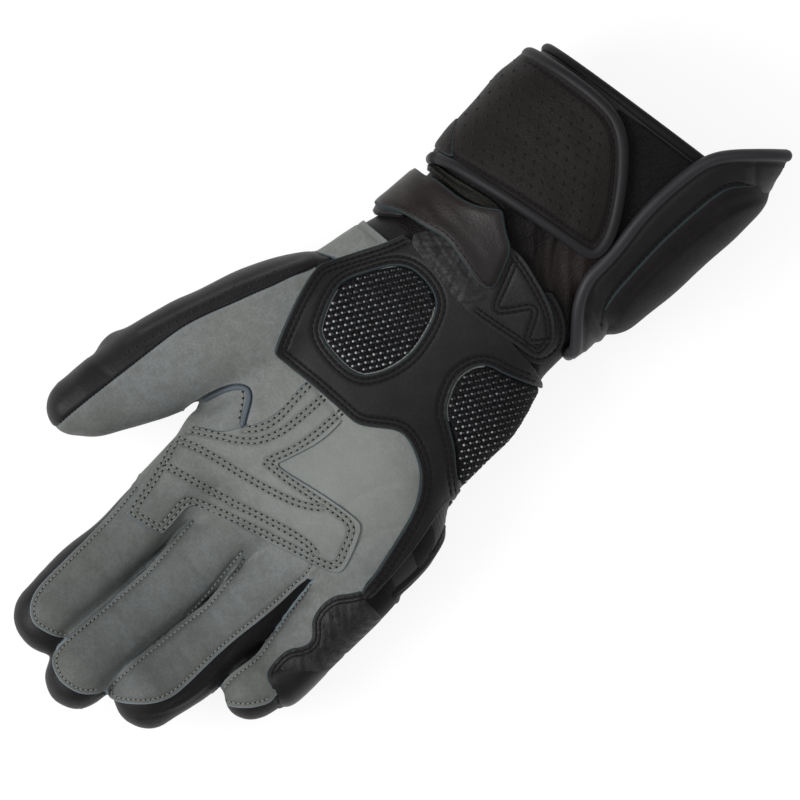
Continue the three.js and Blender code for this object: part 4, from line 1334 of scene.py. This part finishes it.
class Sewing:
    """Collects stitches and needle holes, then joins them into one piece of thread and one of holes, dark
    discs of painted shade.
    """

    def __init__(self, name, thread, hole, width=0.62, hole_size=0.95, pitch=PITCH):
        self.name, self.thread, self.hole = name, thread, hole
        self.width, self.hole_size, self.pitch = width, hole_size, pitch
        self.stitches, self.holes = [], []
        self.rng = np.random.default_rng(len(name))

    def row(self, line, panels):
        """A row along a plan line, without the stitches that would cross a gap."""
        points = dropped(evenly(line, self.pitch), panels)
        for one, two in zip(points[:-1], points[1:]):
            if one is None or two is None:
                continue
            (a, n), (b, m) = one, two
            length = np.linalg.norm(b - a)
            if length > 2.2 * self.pitch:
                continue
            middle = (a + b) / 2 + unit((n + m)[None])[0] * THREAD_LIFT
            slant = self.rng.normal(0, SLANT, 3)
            size = (length * 0.62 + 0.25, self.width, self.width)
            self.stitches.append((middle, b - a + slant * length, n + m, size))
            self.holes.append((a + n * HOLE_LIFT, b - a, n, (self.hole_size, self.hole_size * 0.72, 0.4)))

    def finish(self):
        for kind, shape, found, material in (
            ("thread", capsule(), self.stitches, self.thread),
            ("holes", button(0.22), self.holes, self.hole),
        ):
            if found:
                v, f = scattered(shape, *[[item[k] for item in found] for k in range(4)])
                finished(f"{self.name}_{kind}", v, f, [material], slot="thread", angle=60)


def tube(points, radius, sides=20, closed=False):
    """A round tube through points, with rounded ends."""
    along = unit(np.gradient(points, axis=0))
    if closed:
        along = unit(np.roll(points, -1, axis=0) - np.roll(points, 1, axis=0))
    side = np.zeros_like(along)
    carried = np.array([1.0, 0.0, 0.0])
    for i, way in enumerate(along):
        carried = carried - way * (carried @ way)
        carried /= np.linalg.norm(carried)
        side[i] = carried
    out = np.cross(side, along)
    angle = 2 * np.pi * np.arange(sides) / sides
    rings = [
        point + radius * (np.outer(np.cos(angle), s) + np.outer(np.sin(angle), o))
        for point, s, o in zip(points, side, out)
    ]
    if closed:
        count = len(rings)
        v = np.vstack(rings)
        f = []
        for i in range(count):
            for j in range(sides):
                a, b = i * sides + j, i * sides + (j + 1) % sides
                c, d = ((i + 1) % count) * sides + (j + 1) % sides, ((i + 1) % count) * sides + j
                f += [(a, b, c), (a, c, d)]
        return v, np.array(f)
    for end, way in ((0, -1), (-1, 1)):
        caps = []
        for k in (0.5, 0.8, 0.97):
            shrink = math.sqrt(1 - k * k)
            caps.append(points[end] + way * along[end] * radius * k + (rings[end] - points[end]) * shrink)
        rings = caps[::-1] + rings if end == 0 else rings + caps
    v, faces = loft(rings)
    f = []
    for face in faces:
        f += [face[:3]] if len(face) == 3 else [(face[0], face[1], face[2]), (face[0], face[2], face[3])]
    return v, np.array(f)


def section(y):
    """The middle and half sizes of the palm's form at a place along it."""
    left, right, low, high = (np.interp(y, PALM[:, 0], PALM[:, k]) for k in range(1, 5))
    return (left + right) / 2, (low + high) / 2, (right - left) / 2 - SLIM, (high - low) / 2 - SLIM


def skin_height(x, y, offset):
    cx, cz, wide, deep = section(y)
    u = min(abs(x - cx) / (wide + offset), 0.9995)
    return cz + (deep + offset) * (1 - u ** ROUNDNESS) ** (1 / ROUNDNESS)


def outward_facing(v, f):
    """The triangles turned so that the closed form has a positive volume."""
    a, b, c = v[f[:, 0]], v[f[:, 1]], v[f[:, 2]]
    volume = (a * np.cross(b, c)).sum()
    return f if volume > 0 else f[:, ::-1]


SKIN = make_skin()

# Where the grey leather lies, and each finger's part of the skin
top_side = above(PALM_SEAM)
cuff_side = above(CUFF_SEAM)


def finger_side(v):
    """Above the seam between the grey front and the black back."""
    y = v[:, 1] - np.interp(v[:, 0], *FRONT_LAG.T)
    return v[:, 2] - np.interp(y, *FRONT_SEAM.T)


def finger_zone(name, more=0.0):
    left, right = (VALLEYS[key] for key in ZONES[name])
    field = inside([*left, *reversed(right)], axes=(3, 4), reach=4.0)
    return lambda v: field(v) + more


thumb_front = inside(THUMB_FRONT)
finger_fronts = [both(inside(outline), finger_zone(name)) for name, outline in FINGER_FRONTS.items()]
palm_front = either(inside(PALM_FRONT), *finger_fronts)
bare = outside(both(either(thumb_front, palm_front), finger_side), 2.0)
thumb_zone = inside([
    (-FAR, 20), (-44, 18), (-42, -1), (-37, -12), (-31, -24), (-28, -38), (-31, -46), (-34.5, -57),
    *VALLEYS["thumb_index"][1:3], (-60, -FAR), (-FAR, -FAR),
], axes=(3, 4), reach=4.0)


def path(line, closed=False):
    """A smooth line with a point about every 0.8 mm."""
    smooth = rounded(line, closed)
    if closed:
        smooth = np.vstack([smooth, smooth[:1]])
    return evenly(smooth, 0.8)


def beside_all(line, distances):
    return [beside(line, distance) for distance in distances]


def shell(name, fields, nodes, folds=(), fine=False, material=None, shape=None):
    """The black leather next to the hand, in one of its panels."""
    return Panel(name, fields, -SHELL, BASE, material or BLACK, BLACK, "black_leather", nodes, fine=fine,
                 flare=0, bevel=0.05, folds=folds, shape=shape, sinks=True)


def wrist_hollow(v):
    """The wrist sinks in between the landing pad, the flap and the wing."""
    return -2.2 * bell(v[:, 0], 16, at=15) * bell(v[:, 1], 8, at=80)


def valley_dip(v):
    """How the index and middle fingers turn down steeply where the next finger lies against them."""
    total = 0
    for valley, (depth, width) in VALLEY_DIPS.items():
        line = np.array(VALLEYS[valley][1:])
        away = v[:, 3] - np.interp(-v[:, 4], -line[:, 1], line[:, 0])
        lower = beyond(v[:, 4], line[0, 1] - 1.5, -2)
        left = beyond(away, 0, -0.3)
        total = total - depth * lower * left * bell(away, width)
    return total * beyond(v[:, 4], -158.5, 0.8)


shell("hand_shell", [beyond_y(KNUCKLES), before_y(PALM_END), outside(thumb_zone), bare], ["hand_back"])
shell("thumb_shell", [thumb_zone, bare], ["thumb_back"])
for finger in ZONES:
    nodes = [f"{finger}_back"] + (["ring_side"] if finger == "ring" else [])
    folds = RING_FOLDS if finger == "ring" else ()
    shell(f"{finger}_shell", [before_y(KNUCKLES), finger_zone(finger, 0.15), bare], nodes, folds,
          fine=finger == "ring", shape=valley_dip)
shell("wrist_shell", [beyond_y(PALM_END), before_y(WRIST_END + 4), cuff_side], ["wrist_front"], WRIST_FOLDS,
      fine=True, material=CREASED, shape=wrist_hollow)
shell("cuff_shell", [beyond_y(WRIST_END + 4), before_rim(3), cuff_side], ["cuff_front"])
shell("cuff_back_shell", [beyond_y(PALM_END), before_rim(3), below(CUFF_SEAM)], ["cuff_back"])

# Grey leather: palm and fingers, then the thumb and the palm's edge over it
arch_line = rounded(ARCH, closed=False)


def arch_dip(v):
    """How the lower leather sinks away under the arch at the root of the thumb."""
    distance, _ = nearest(v[:, :2], arch_line, closed=False)
    hollow = bell(v[:, 0], 5, at=-31.5) * bell(v[:, 1], 7.5, at=-52.5)
    return (-1.5 * bell(distance, 5.5) - 2.6 * hollow) * beyond(v[:, 1], -64, 1.5)


def fingers_dip(v):
    """The dips at the arch and beside the fingers' valleys together."""
    return arch_dip(v) + valley_dip(v)


palm_rows = [row for line in PALM_ROWS for row in beside_all(path(line), DOUBLE_ROW)]
finger_edges = [path(FINGER_FRONTS[name][slice(*rows)]) for name, rows in FINGER_EDGES.items()]
finger_rows = [beside(line, FINGER_INSET) for line in finger_edges] + [path(MIDDLE_ROW)]
strip_rows = beside_all(path(THUMB_BORDER), (0.7,))

palm_cover = Panel("palm_cover", [palm_front, finger_side], FRONT_LOW, FRONT_HIGH, GREY, EDGE_PALE,
                   "grey_leather",
                   ["palm_leather", "index_front", "middle_front", "ring_front", "little_front"],
                   grooves=finger_rows, groove=0.35, groove_width=0.7, lip=0.4, lip_lines=finger_edges,
                   flare=0.3, shape=fingers_dip, sinks=True, folds=PALM_FOLDS)
Panel("thumb_cover", [thumb_front, above(15.0)], FRONT_LOW, FRONT_HIGH, GREY, EDGE_GREY,
      "grey_leather", ["thumb_front"], flare=0.3)
thumb_strip = Panel("thumb_strip", [inside(THUMB_STRIP), above(13)], 0.3, 1.7, BLACK, BLACK, "black_leather",
                    ["thumb_side"], crown=0.35, crown_width=1.0, grooves=strip_rows, folds=THUMB_FOLDS)

# Patches on the palm
heel_border = [
    path(HEEL_PATCH[:27]), path(HEEL_WINDOW, closed=True), path(SIDE_WINDOW[-6:] + SIDE_WINDOW[:6]),
]
heel_rows = [
    row for line, insets in zip(heel_border, (HEEL_INSETS, WINDOW_INSETS, WINDOW_INSETS))
    for row in beside_all(line, insets)
]


def pressed(v):
    """The reinforcement is pressed down under the heel patch, and thinner beside the index finger."""
    return -0.9 * beyond(v[:, 1], -22.4, 0.5) - 0.8 * beyond(v[:, 0], -28, -0.8)


def crumpled(v):
    """Wrinkles over the landing pad's covered end."""
    share = beyond(v[:, 0], 3, -2)
    return share * (ripple(v[:, :3], 11, 4.2, 0.24) + ripple(v[:, :3], 12, 2.2, 0.15))


def knots(v):
    """Little lumps of the woven ground."""
    return 0.12 * np.sin(2 * np.pi * v[:, 0] / 1.32) * np.sin(2 * np.pi * v[:, 1] / 2.3)


def ribs(v):
    """Fine ribs that run across the side of the hand."""
    return 0.05 * np.sin(2 * np.pi * (v[:, 1] + 0.45 * v[:, 0]) / 1.5)


def thinned(v):
    """The little finger's overlay gets thinner towards the fingertip."""
    return -1.3 * beyond(v[:, 1], -110.5, -1.2)


def heel_edge(v):
    """Where the heel patch ends in a cut edge, rather than at a neighbour."""
    return rows_distance(v, heel_border) < 0.8


def landing_edge(v):
    return (v[:, 0] > 18) & (v[:, 1] > 52)


overlay = Panel("palm_reinforcement", [inside(PALM_OVERLAY), top_side], PATCH_LOW - 0.1, PATCH_HIGH - 0.4,
                GREY, EDGE_GREY, "grey_leather", ["palm_overlay"], grooves=palm_rows, groove=0.4,
                groove_width=0.75, flare=0.1, shape=pressed, sinks=True)
heel_fields = [inside(HEEL_PATCH), outside(inside(HEEL_WINDOW)), outside(inside(SIDE_WINDOW)), top_side]
heel = Panel("heel_cover", heel_fields, PATCH_LOW, PATCH_HIGH, BLACK, EDGE_BLACK, "black_leather",
             ["heel_patch"], grooves=heel_rows, groove=0.4, bevel=0.55, edged=heel_edge)
heel_fabric = Panel("heel_grip", [inside(HEEL_WINDOW), top_side], GRIP_LOW, GRIP_HIGH, WEAVE, WEAVE,
                    "grip_fabric", ["heel_insert"], crown=0.9, crown_width=1.1, shape=knots)
side_fabric = Panel("side_grip", [inside(SIDE_WINDOW), top_side], GRIP_LOW, GRIP_HIGH, WEAVE, WEAVE,
                    "grip_fabric", ["side_insert"], crown=0.9, crown_width=1.1, shape=knots)
Panel("hand_side_cover", [inside(HAND_SIDE), above(12)], 0.3, 1.7, BLACK, BLACK, "black_leather", shape=ribs)
for name, outline in SIDE_PATCHES.items():
    Panel(f"hand_side_{name}", [inside(outline), above(12.4)], 0.9, 2.1, MATT, MATT, "black_leather",
          crown=0.15, crown_width=0.6, flare=0.05)
welt_lines = beside_all(path(HAND_WELT[:8]), (-1.1, -2.1))
Panel("hand_welt", [inside(HAND_WELT), above(8)], 1.0, 2.9, BINDING, BINDING, "black_leather", crown=0.9,
      crown_width=1.0, grooves=welt_lines, groove=-0.25, groove_width=0.3)
little_rows = beside_all(path(LITTLE_OVERLAY[:16]), (-1.5, -3.0))
little_cover = Panel("little_cover", [inside(LITTLE_OVERLAY), above(10)], PATCH_LOW, PATCH_HIGH - 0.2, RIBBED,
                     EDGE_BLACK, "black_leather", ["little_overlay"], crown=0.4, shape=thinned, sinks=True,
                     grooves=[*little_rows, path(LITTLE_SEAM)])
Panel("little_guard", [inside(LITTLE_GUARD), above(12)], PATCH_LOW, PATCH_HIGH, SMOOTH, BLACK,
      "black_leather", crown=0.5, crown_width=1.2, flare=0.05, shape=thinned, sinks=True)
Panel("wrist_side_panel", [inside(WRIST_PANEL), above(14)], 0.3, 1.4, GREY, EDGE_GREY, "grey_leather",
      ["wrist_panel"], grooves=[path([(-47.5, 32.2), (-42, 32.6), (-36, 33.6)])])

# Wrist pads and strap
landing_rows = beside_all(path(LANDING[5:17]), (-1.6, -3.2))
landing_rows += beside_all(path(LANDING_ROW), DOUBLE_ROW)
under_rows = beside_all(path(UNDER_PAD, closed=True), (-1.8,))
strap_row = beside(path(STRAP[2:10]), -1.6)
under = Panel("lower_landing_pad", [inside(UNDER_PAD), top_side], 0.3, 1.9, BLACK, BLACK, "black_leather",
              ["strap_under_pad"], crown=0.5, grooves=under_rows)
landing = Panel("landing_pad", [inside(LANDING), top_side], 2.3, 3.7, PAD, EDGE_BLACK, "black_leather",
                ["strap_landing"], crown=0.6, grooves=landing_rows, groove=0.4, groove_width=0.9, pad=0.4,
                folds=LANDING_FOLDS, shape=crumpled, edged=landing_edge)
Panel("strap_leaf", [inside(STRAP_LEAF), cuff_side], 1.2, 2.8, LEAF, LEAF, "black_leather", crown=0.9,
      crown_width=1.6, folds=LEAF_FOLDS)
Panel("strap_turn", [inside(STRAP_TURN), above(17)], 1.8, 4.6, BLACK, BLACK, "black_leather", crown=1.3,
      crown_width=1.6)
strap = Panel("strap_cover", [inside(STRAP), top_side], 4.2, 6.2, STRAP_LEATHER, EDGE_BLACK, "black_leather",
              ["wrist_strap"], crown=0.5, crown_width=1.6, folds=STRAP_FOLDS, pad=0.5, bevel=0.4)

# Cuff: tape, flap, gusset, wing and guard
flap_row = beside(path(FLAP_PIPE), 3.4)
wing_row = beside(path(WING_PIPE), -3.3)
guard_row = path(GUARD_ROW)
wing_limit = inside(WING_SIDE, axes=(1, 2))
crest = np.array(sorted((y, x) for x, y in GUARD_CREST))


def guard_step(v):
    """The guard's raised middle, bounded by its crest, with both ends sloping down."""
    x = np.interp(v[:, 1], crest[:, 0], crest[:, 1])
    ends = 2.6 * bell(v[:, 1], 6, at=76) + 2.4 * bell(v[:, 1], 6.5, at=162)
    return 1.3 * beyond(v[:, 0], x, 0.45) - 0.3 - ends


Panel("loop_tape_strip", [inside(LOOP_TAPE), before_rim(6), cuff_side], 0.3, 1.3, FUZZ, FUZZ, "loop_fabric",
      ["cuff_loop"])
Panel("gusset_fold", [inside(GUSSET), cuff_side], 0.4, 3.6, BLACK, EDGE_BLACK, "black_leather",
      ["cuff_gusset"], crown=1.4, crown_width=2.2)
flap = Panel("flap_pad", [inside(FLAP), cuff_side], 1.7, 4.9, FLAP_BLACK, EDGE_BLACK, "black_leather",
             ["cuff_flap"], crown=0.5, grooves=[flap_row], groove=0.5, groove_width=0.9,
             folds=FLAP_FOLDS, pad=0.5)
Panel("gusset_leaf", [inside(GUSSET_LEAF), cuff_side], 1.5, 5.6, FLAP_BLACK, EDGE_BLACK, "black_leather",
      crown=0.4, crown_width=1.2, bevel=0.4)
wing = Panel("wing_panel", [inside(WING), wing_limit], 1.7, 4.3, BLACK, EDGE_BLACK, "black_leather",
             ["cuff_wing"], grooves=[wing_row, guard_row], crown=0.3, folds=WING_FOLDS)
Panel("guard_pad", [inside(GUARD), above(14), wing_limit], 3.6, 6.6, GUARD_BLACK, EDGE_BLACK, "black_leather",
      ["wing_guard"], crown=1.0, crown_width=1.8, shape=guard_step, pad=0.8)


def solid(name, made, material, slot, nodes=()):
    v, f = made
    return finished(name, v, outward_facing(v, f), [material], slot=slot, nodes=nodes, angle=60)


def pipe(name, line, offset, node, material, start=(), end=()):
    """Piping that follows a line at a height above the skin, then turns down at its ends."""
    points = [(x, y, skin_height(x, y, offset)) for x, y in evenly(rounded(line, closed=False), 1.2)]
    points = evenly(rounded([*start, *points, *end], closed=False), 1.0)
    solid(name, tube(points, PIPE), material, "black_piping", [node])


def rim_line(inset, inward):
    """A line round the cuff's mouth, a distance below its rim."""
    found = []
    for a, b in zip(*oval(96)):
        cx, _, wide, _ = section(RIM_Y)
        y = RIM_Y + RIM_SLOPE * (cx + a * wide) - inset
        cx, cz, wide, deep = section(y)
        found.append((cx + a * (wide - inward), y, max(cz + b * (deep - inward), PIPE + 0.1)))
    return np.array(found)


pipe("flap_pipe", FLAP_PIPE, 3.4, "flap_piping", DARK_PIPING, start=[(-52.2, 124.6, 26), (-52.2, 125, 36)],
     end=[(-45.8, 71.2, 36), (-46, 70.4, 26)])
pipe("wing_pipe", WING_PIPE, 3.0, "wing_piping", PIPING, end=[(45.4, 61.4, 33), (45.6, 60.8, 25)])
rim = tube(rim_line(PIPE, 0.8), PIPE - 0.2, closed=True)
solid("rim_binding", rim, BINDING, "black_piping", ["cuff_binding"])
cord = tube(rim_line(2 * PIPE + 1.2, 0.3), CORD, sides=12, closed=True)
solid("rim_cord", cord, BINDING, "black_piping")

# Raised band under the arch of the thumb
band = [hit[0] for hit in dropped(beside(path(ARCH)[10:], 1.3), [palm_cover], 0.25) if hit]
solid("arch_band", tube(np.array(band), CORD, sides=12), EDGE_GREY, "raw_edge")

# Sewing: pieces of thread between needle holes
SEWN = [
    ("palm", THREAD_GREY, HOLE_SHADE, palm_rows + [path(ARCH_ROW)], [overlay, palm_cover], {"hole_size": 1.35}),
    ("finger", THREAD_GREY, HOLE_SHADE, finger_rows, [palm_cover], {"pitch": 1.9, "hole_size": 0.95}),
    ("thumb", THREAD_BLACK, HOLE_SHADE_ON_BLACK, strip_rows, [thumb_strip], {"pitch": 1.5, "width": 0.8}),
    ("heel", THREAD_BLACK, HOLE_SHADE_ON_BLACK, heel_rows, [heel], {"width": 0.75, "hole_size": 1.4}),
    ("little", THREAD_BLACK, HOLE_SHADE_ON_BLACK, little_rows, [little_cover], {"pitch": 2.0, "hole_size": 1.2}),
    ("landing", THREAD_BLACK, HOLE_SHADE_ON_BLACK, landing_rows, [landing], {"width": 0.75, "hole_size": 1.5}),
    ("under", THREAD_BLACK, HOLE_SHADE_ON_BLACK, under_rows, [under], {"width": 0.7, "hole_size": 1.2}),
    ("strap", THREAD_BLACK, HOLE_SHADE_ON_BLACK, [strap_row], [strap], {"width": 0.35, "hole_size": 0.5}),
    ("cuff", THREAD_BLACK, HOLE_SHADE_ON_BLACK, [flap_row, guard_row], [flap, wing], {"width": 0.7, "hole_size": 1.3}),
]
for name, thread, hole, rows, panels, sizes in SEWN:
    sewing = Sewing(f"{name}_sewing", thread, hole, **sizes)
    for row in rows:
        sewing.row(row, panels)
    sewing.finish()


# Grip dots and perforations: the spacing along a row, from row to row, and the rows' turn
GRIP_PATTERN = (2.65, 2.27, math.radians(3))
GRIP_MARGIN = 1.3
FLAP_PATTERN = (4.6, 4.0, math.radians(12))
THUMB_PATTERN = (3.6, 3.2, math.radians(20))


def staggered(outline, along, across_by, turn, margin=0.0):
    """Points of a staggered pattern inside an outline."""
    ring = np.array(outline, float)
    middle = (ring.min(0) + ring.max(0)) / 2
    half = np.max(ring.max(0) - ring.min(0)) / 2 + 8
    c, s = math.cos(turn), math.sin(turn)
    found = []
    for j in range(int(-half / across_by), int(half / across_by) + 1):
        for i in range(int(-half / along), int(half / along) + 1):
            x, y = (i + 0.5 * (j % 2)) * along, j * across_by
            found.append((middle[0] + c * x - s * y, middle[1] + s * x + c * y, 0.0))
    found = np.array(found)
    return found[inside(outline)(found) > margin]


def dotted(name, points, panel, size, height, material, slot, shape, lift=0.0):
    """Small domes or hole discs, each a little different, on a panel."""
    rng = np.random.default_rng(len(points))
    hits = [hit for hit in dropped(points + rng.normal(0, 0.06, points.shape), [panel], lift) if hit]
    sizes = [(size * k, size * k, height) for k in rng.uniform(0.86, 1.12, len(hits))]
    made = scattered(shape, [h[0] for h in hits], [(1.0, 0.3, 0.0)] * len(hits), [h[1] for h in hits], sizes)
    finished(name, *made, [material], slot=slot, angle=60)


def perforated(name, points, panel, size, rim, material):
    """Punched holes, each in the middle of a low raised rim, with a dark disc of painted shade in each."""
    dotted(f"{name}_rims", points, panel, rim, 0.45, material, "black_leather", button(0.5, 10))
    dotted(f"{name}_holes", points, panel, size, 0.4, HOLE_SHADE_ON_BLACK, "black_leather", button(0.2), lift=0.18)


for name, outline, fabric in (("heel", HEEL_WINDOW, heel_fabric), ("side", SIDE_WINDOW, side_fabric)):
    dots = staggered(outline, *GRIP_PATTERN, GRIP_MARGIN)
    between = dots + np.array([0.62, 0.87, 0])
    dotted(f"{name}_dots", dots, fabric, 1.0, 0.8, DOTS, "grip_fabric", button(0.5))
    dotted(f"{name}_knots", between, fabric, 0.95, 0.6, KNOT, "grip_fabric", button(0.4))
perforated("flap", staggered(FLAP_HOLES, *FLAP_PATTERN), flap, 0.8, 1.7, GUARD_BLACK)
perforated("thumb", staggered(THUMB_PORES, *THUMB_PATTERN), thumb_strip, 0.65, 1.3, BLACK)

# Camera, light and floor
VIEW_X, VIEW_Y = 14.25, 1.1             # the photograph's middle, in the frame
VIEW_TURN = 49                          # the photograph's turn against the glove, in degrees
VIEW_WIDTH = 307.7                      # what the photograph is wide, at the height of the palm
VIEW_HEIGHT = 40.0
DISTANCE = 3000.0
SENSOR = 36
WORLD_LIGHT = 0.3
FLOOR_GAP = 0.0003                      # metres between the glove and the floor, so that they don't flicker

camera = bpy.data.objects.new("camera", bpy.data.cameras.new("camera"))
bpy.context.scene.collection.objects.link(camera)
camera.location = (VIEW_X * MM, VIEW_Y * MM, (VIEW_HEIGHT + DISTANCE) * MM)
camera.rotation_euler = (0, 0, math.radians(VIEW_TURN))
camera.data.sensor_width = SENSOR
camera.data.lens = SENSOR * DISTANCE / VIEW_WIDTH
camera.data.clip_end = 20
bpy.context.scene.camera = camera


def lamp(name, turn, elevation, distance, size, power):
    """A soft square light aimed at the glove, by its direction in the photograph and its elevation."""
    data = bpy.data.lights.new(name, "AREA")
    data.shape = "SQUARE"
    data.size = size
    data.energy = power
    piece = bpy.data.objects.new(name, data)
    bpy.context.scene.collection.objects.link(piece)
    a, e = math.radians(turn + VIEW_TURN), math.radians(elevation)
    piece.location = (
        distance * math.cos(e) * math.cos(a), distance * math.cos(e) * math.sin(a), distance * math.sin(e),
    )
    piece.rotation_euler = piece.location.to_track_quat("Z", "Y").to_euler()


lamp("key", 188, 42, 2.6, 1.2, 42)
lamp("fill", 20, 55, 2.0, 1.2, 1.5)
lamp("top", 90, 82, 1.8, 1.2, 5.0)

world = bpy.data.worlds.new("studio")
world.use_nodes = True
background = world.node_tree.nodes["Background"]
background.inputs["Color"].default_value = (1, 1, 1, 1)
background.inputs["Strength"].default_value = WORLD_LIGHT
bpy.context.scene.world = world
bpy.context.scene.view_settings.view_transform = "Standard"

bpy.ops.mesh.primitive_plane_add(size=6, location=(0, 0, -FLOOR_GAP))
floor = bpy.context.active_object
floor.name = "floor"
paper = Finish("floor", roughness=0.9, Emission_Color=(1, 1, 1, 1), Emission_Strength=0.88)
paper.set("Base Color", (0.16, 0.16, 0.16, 1))
floor.data.materials.append(paper.material)
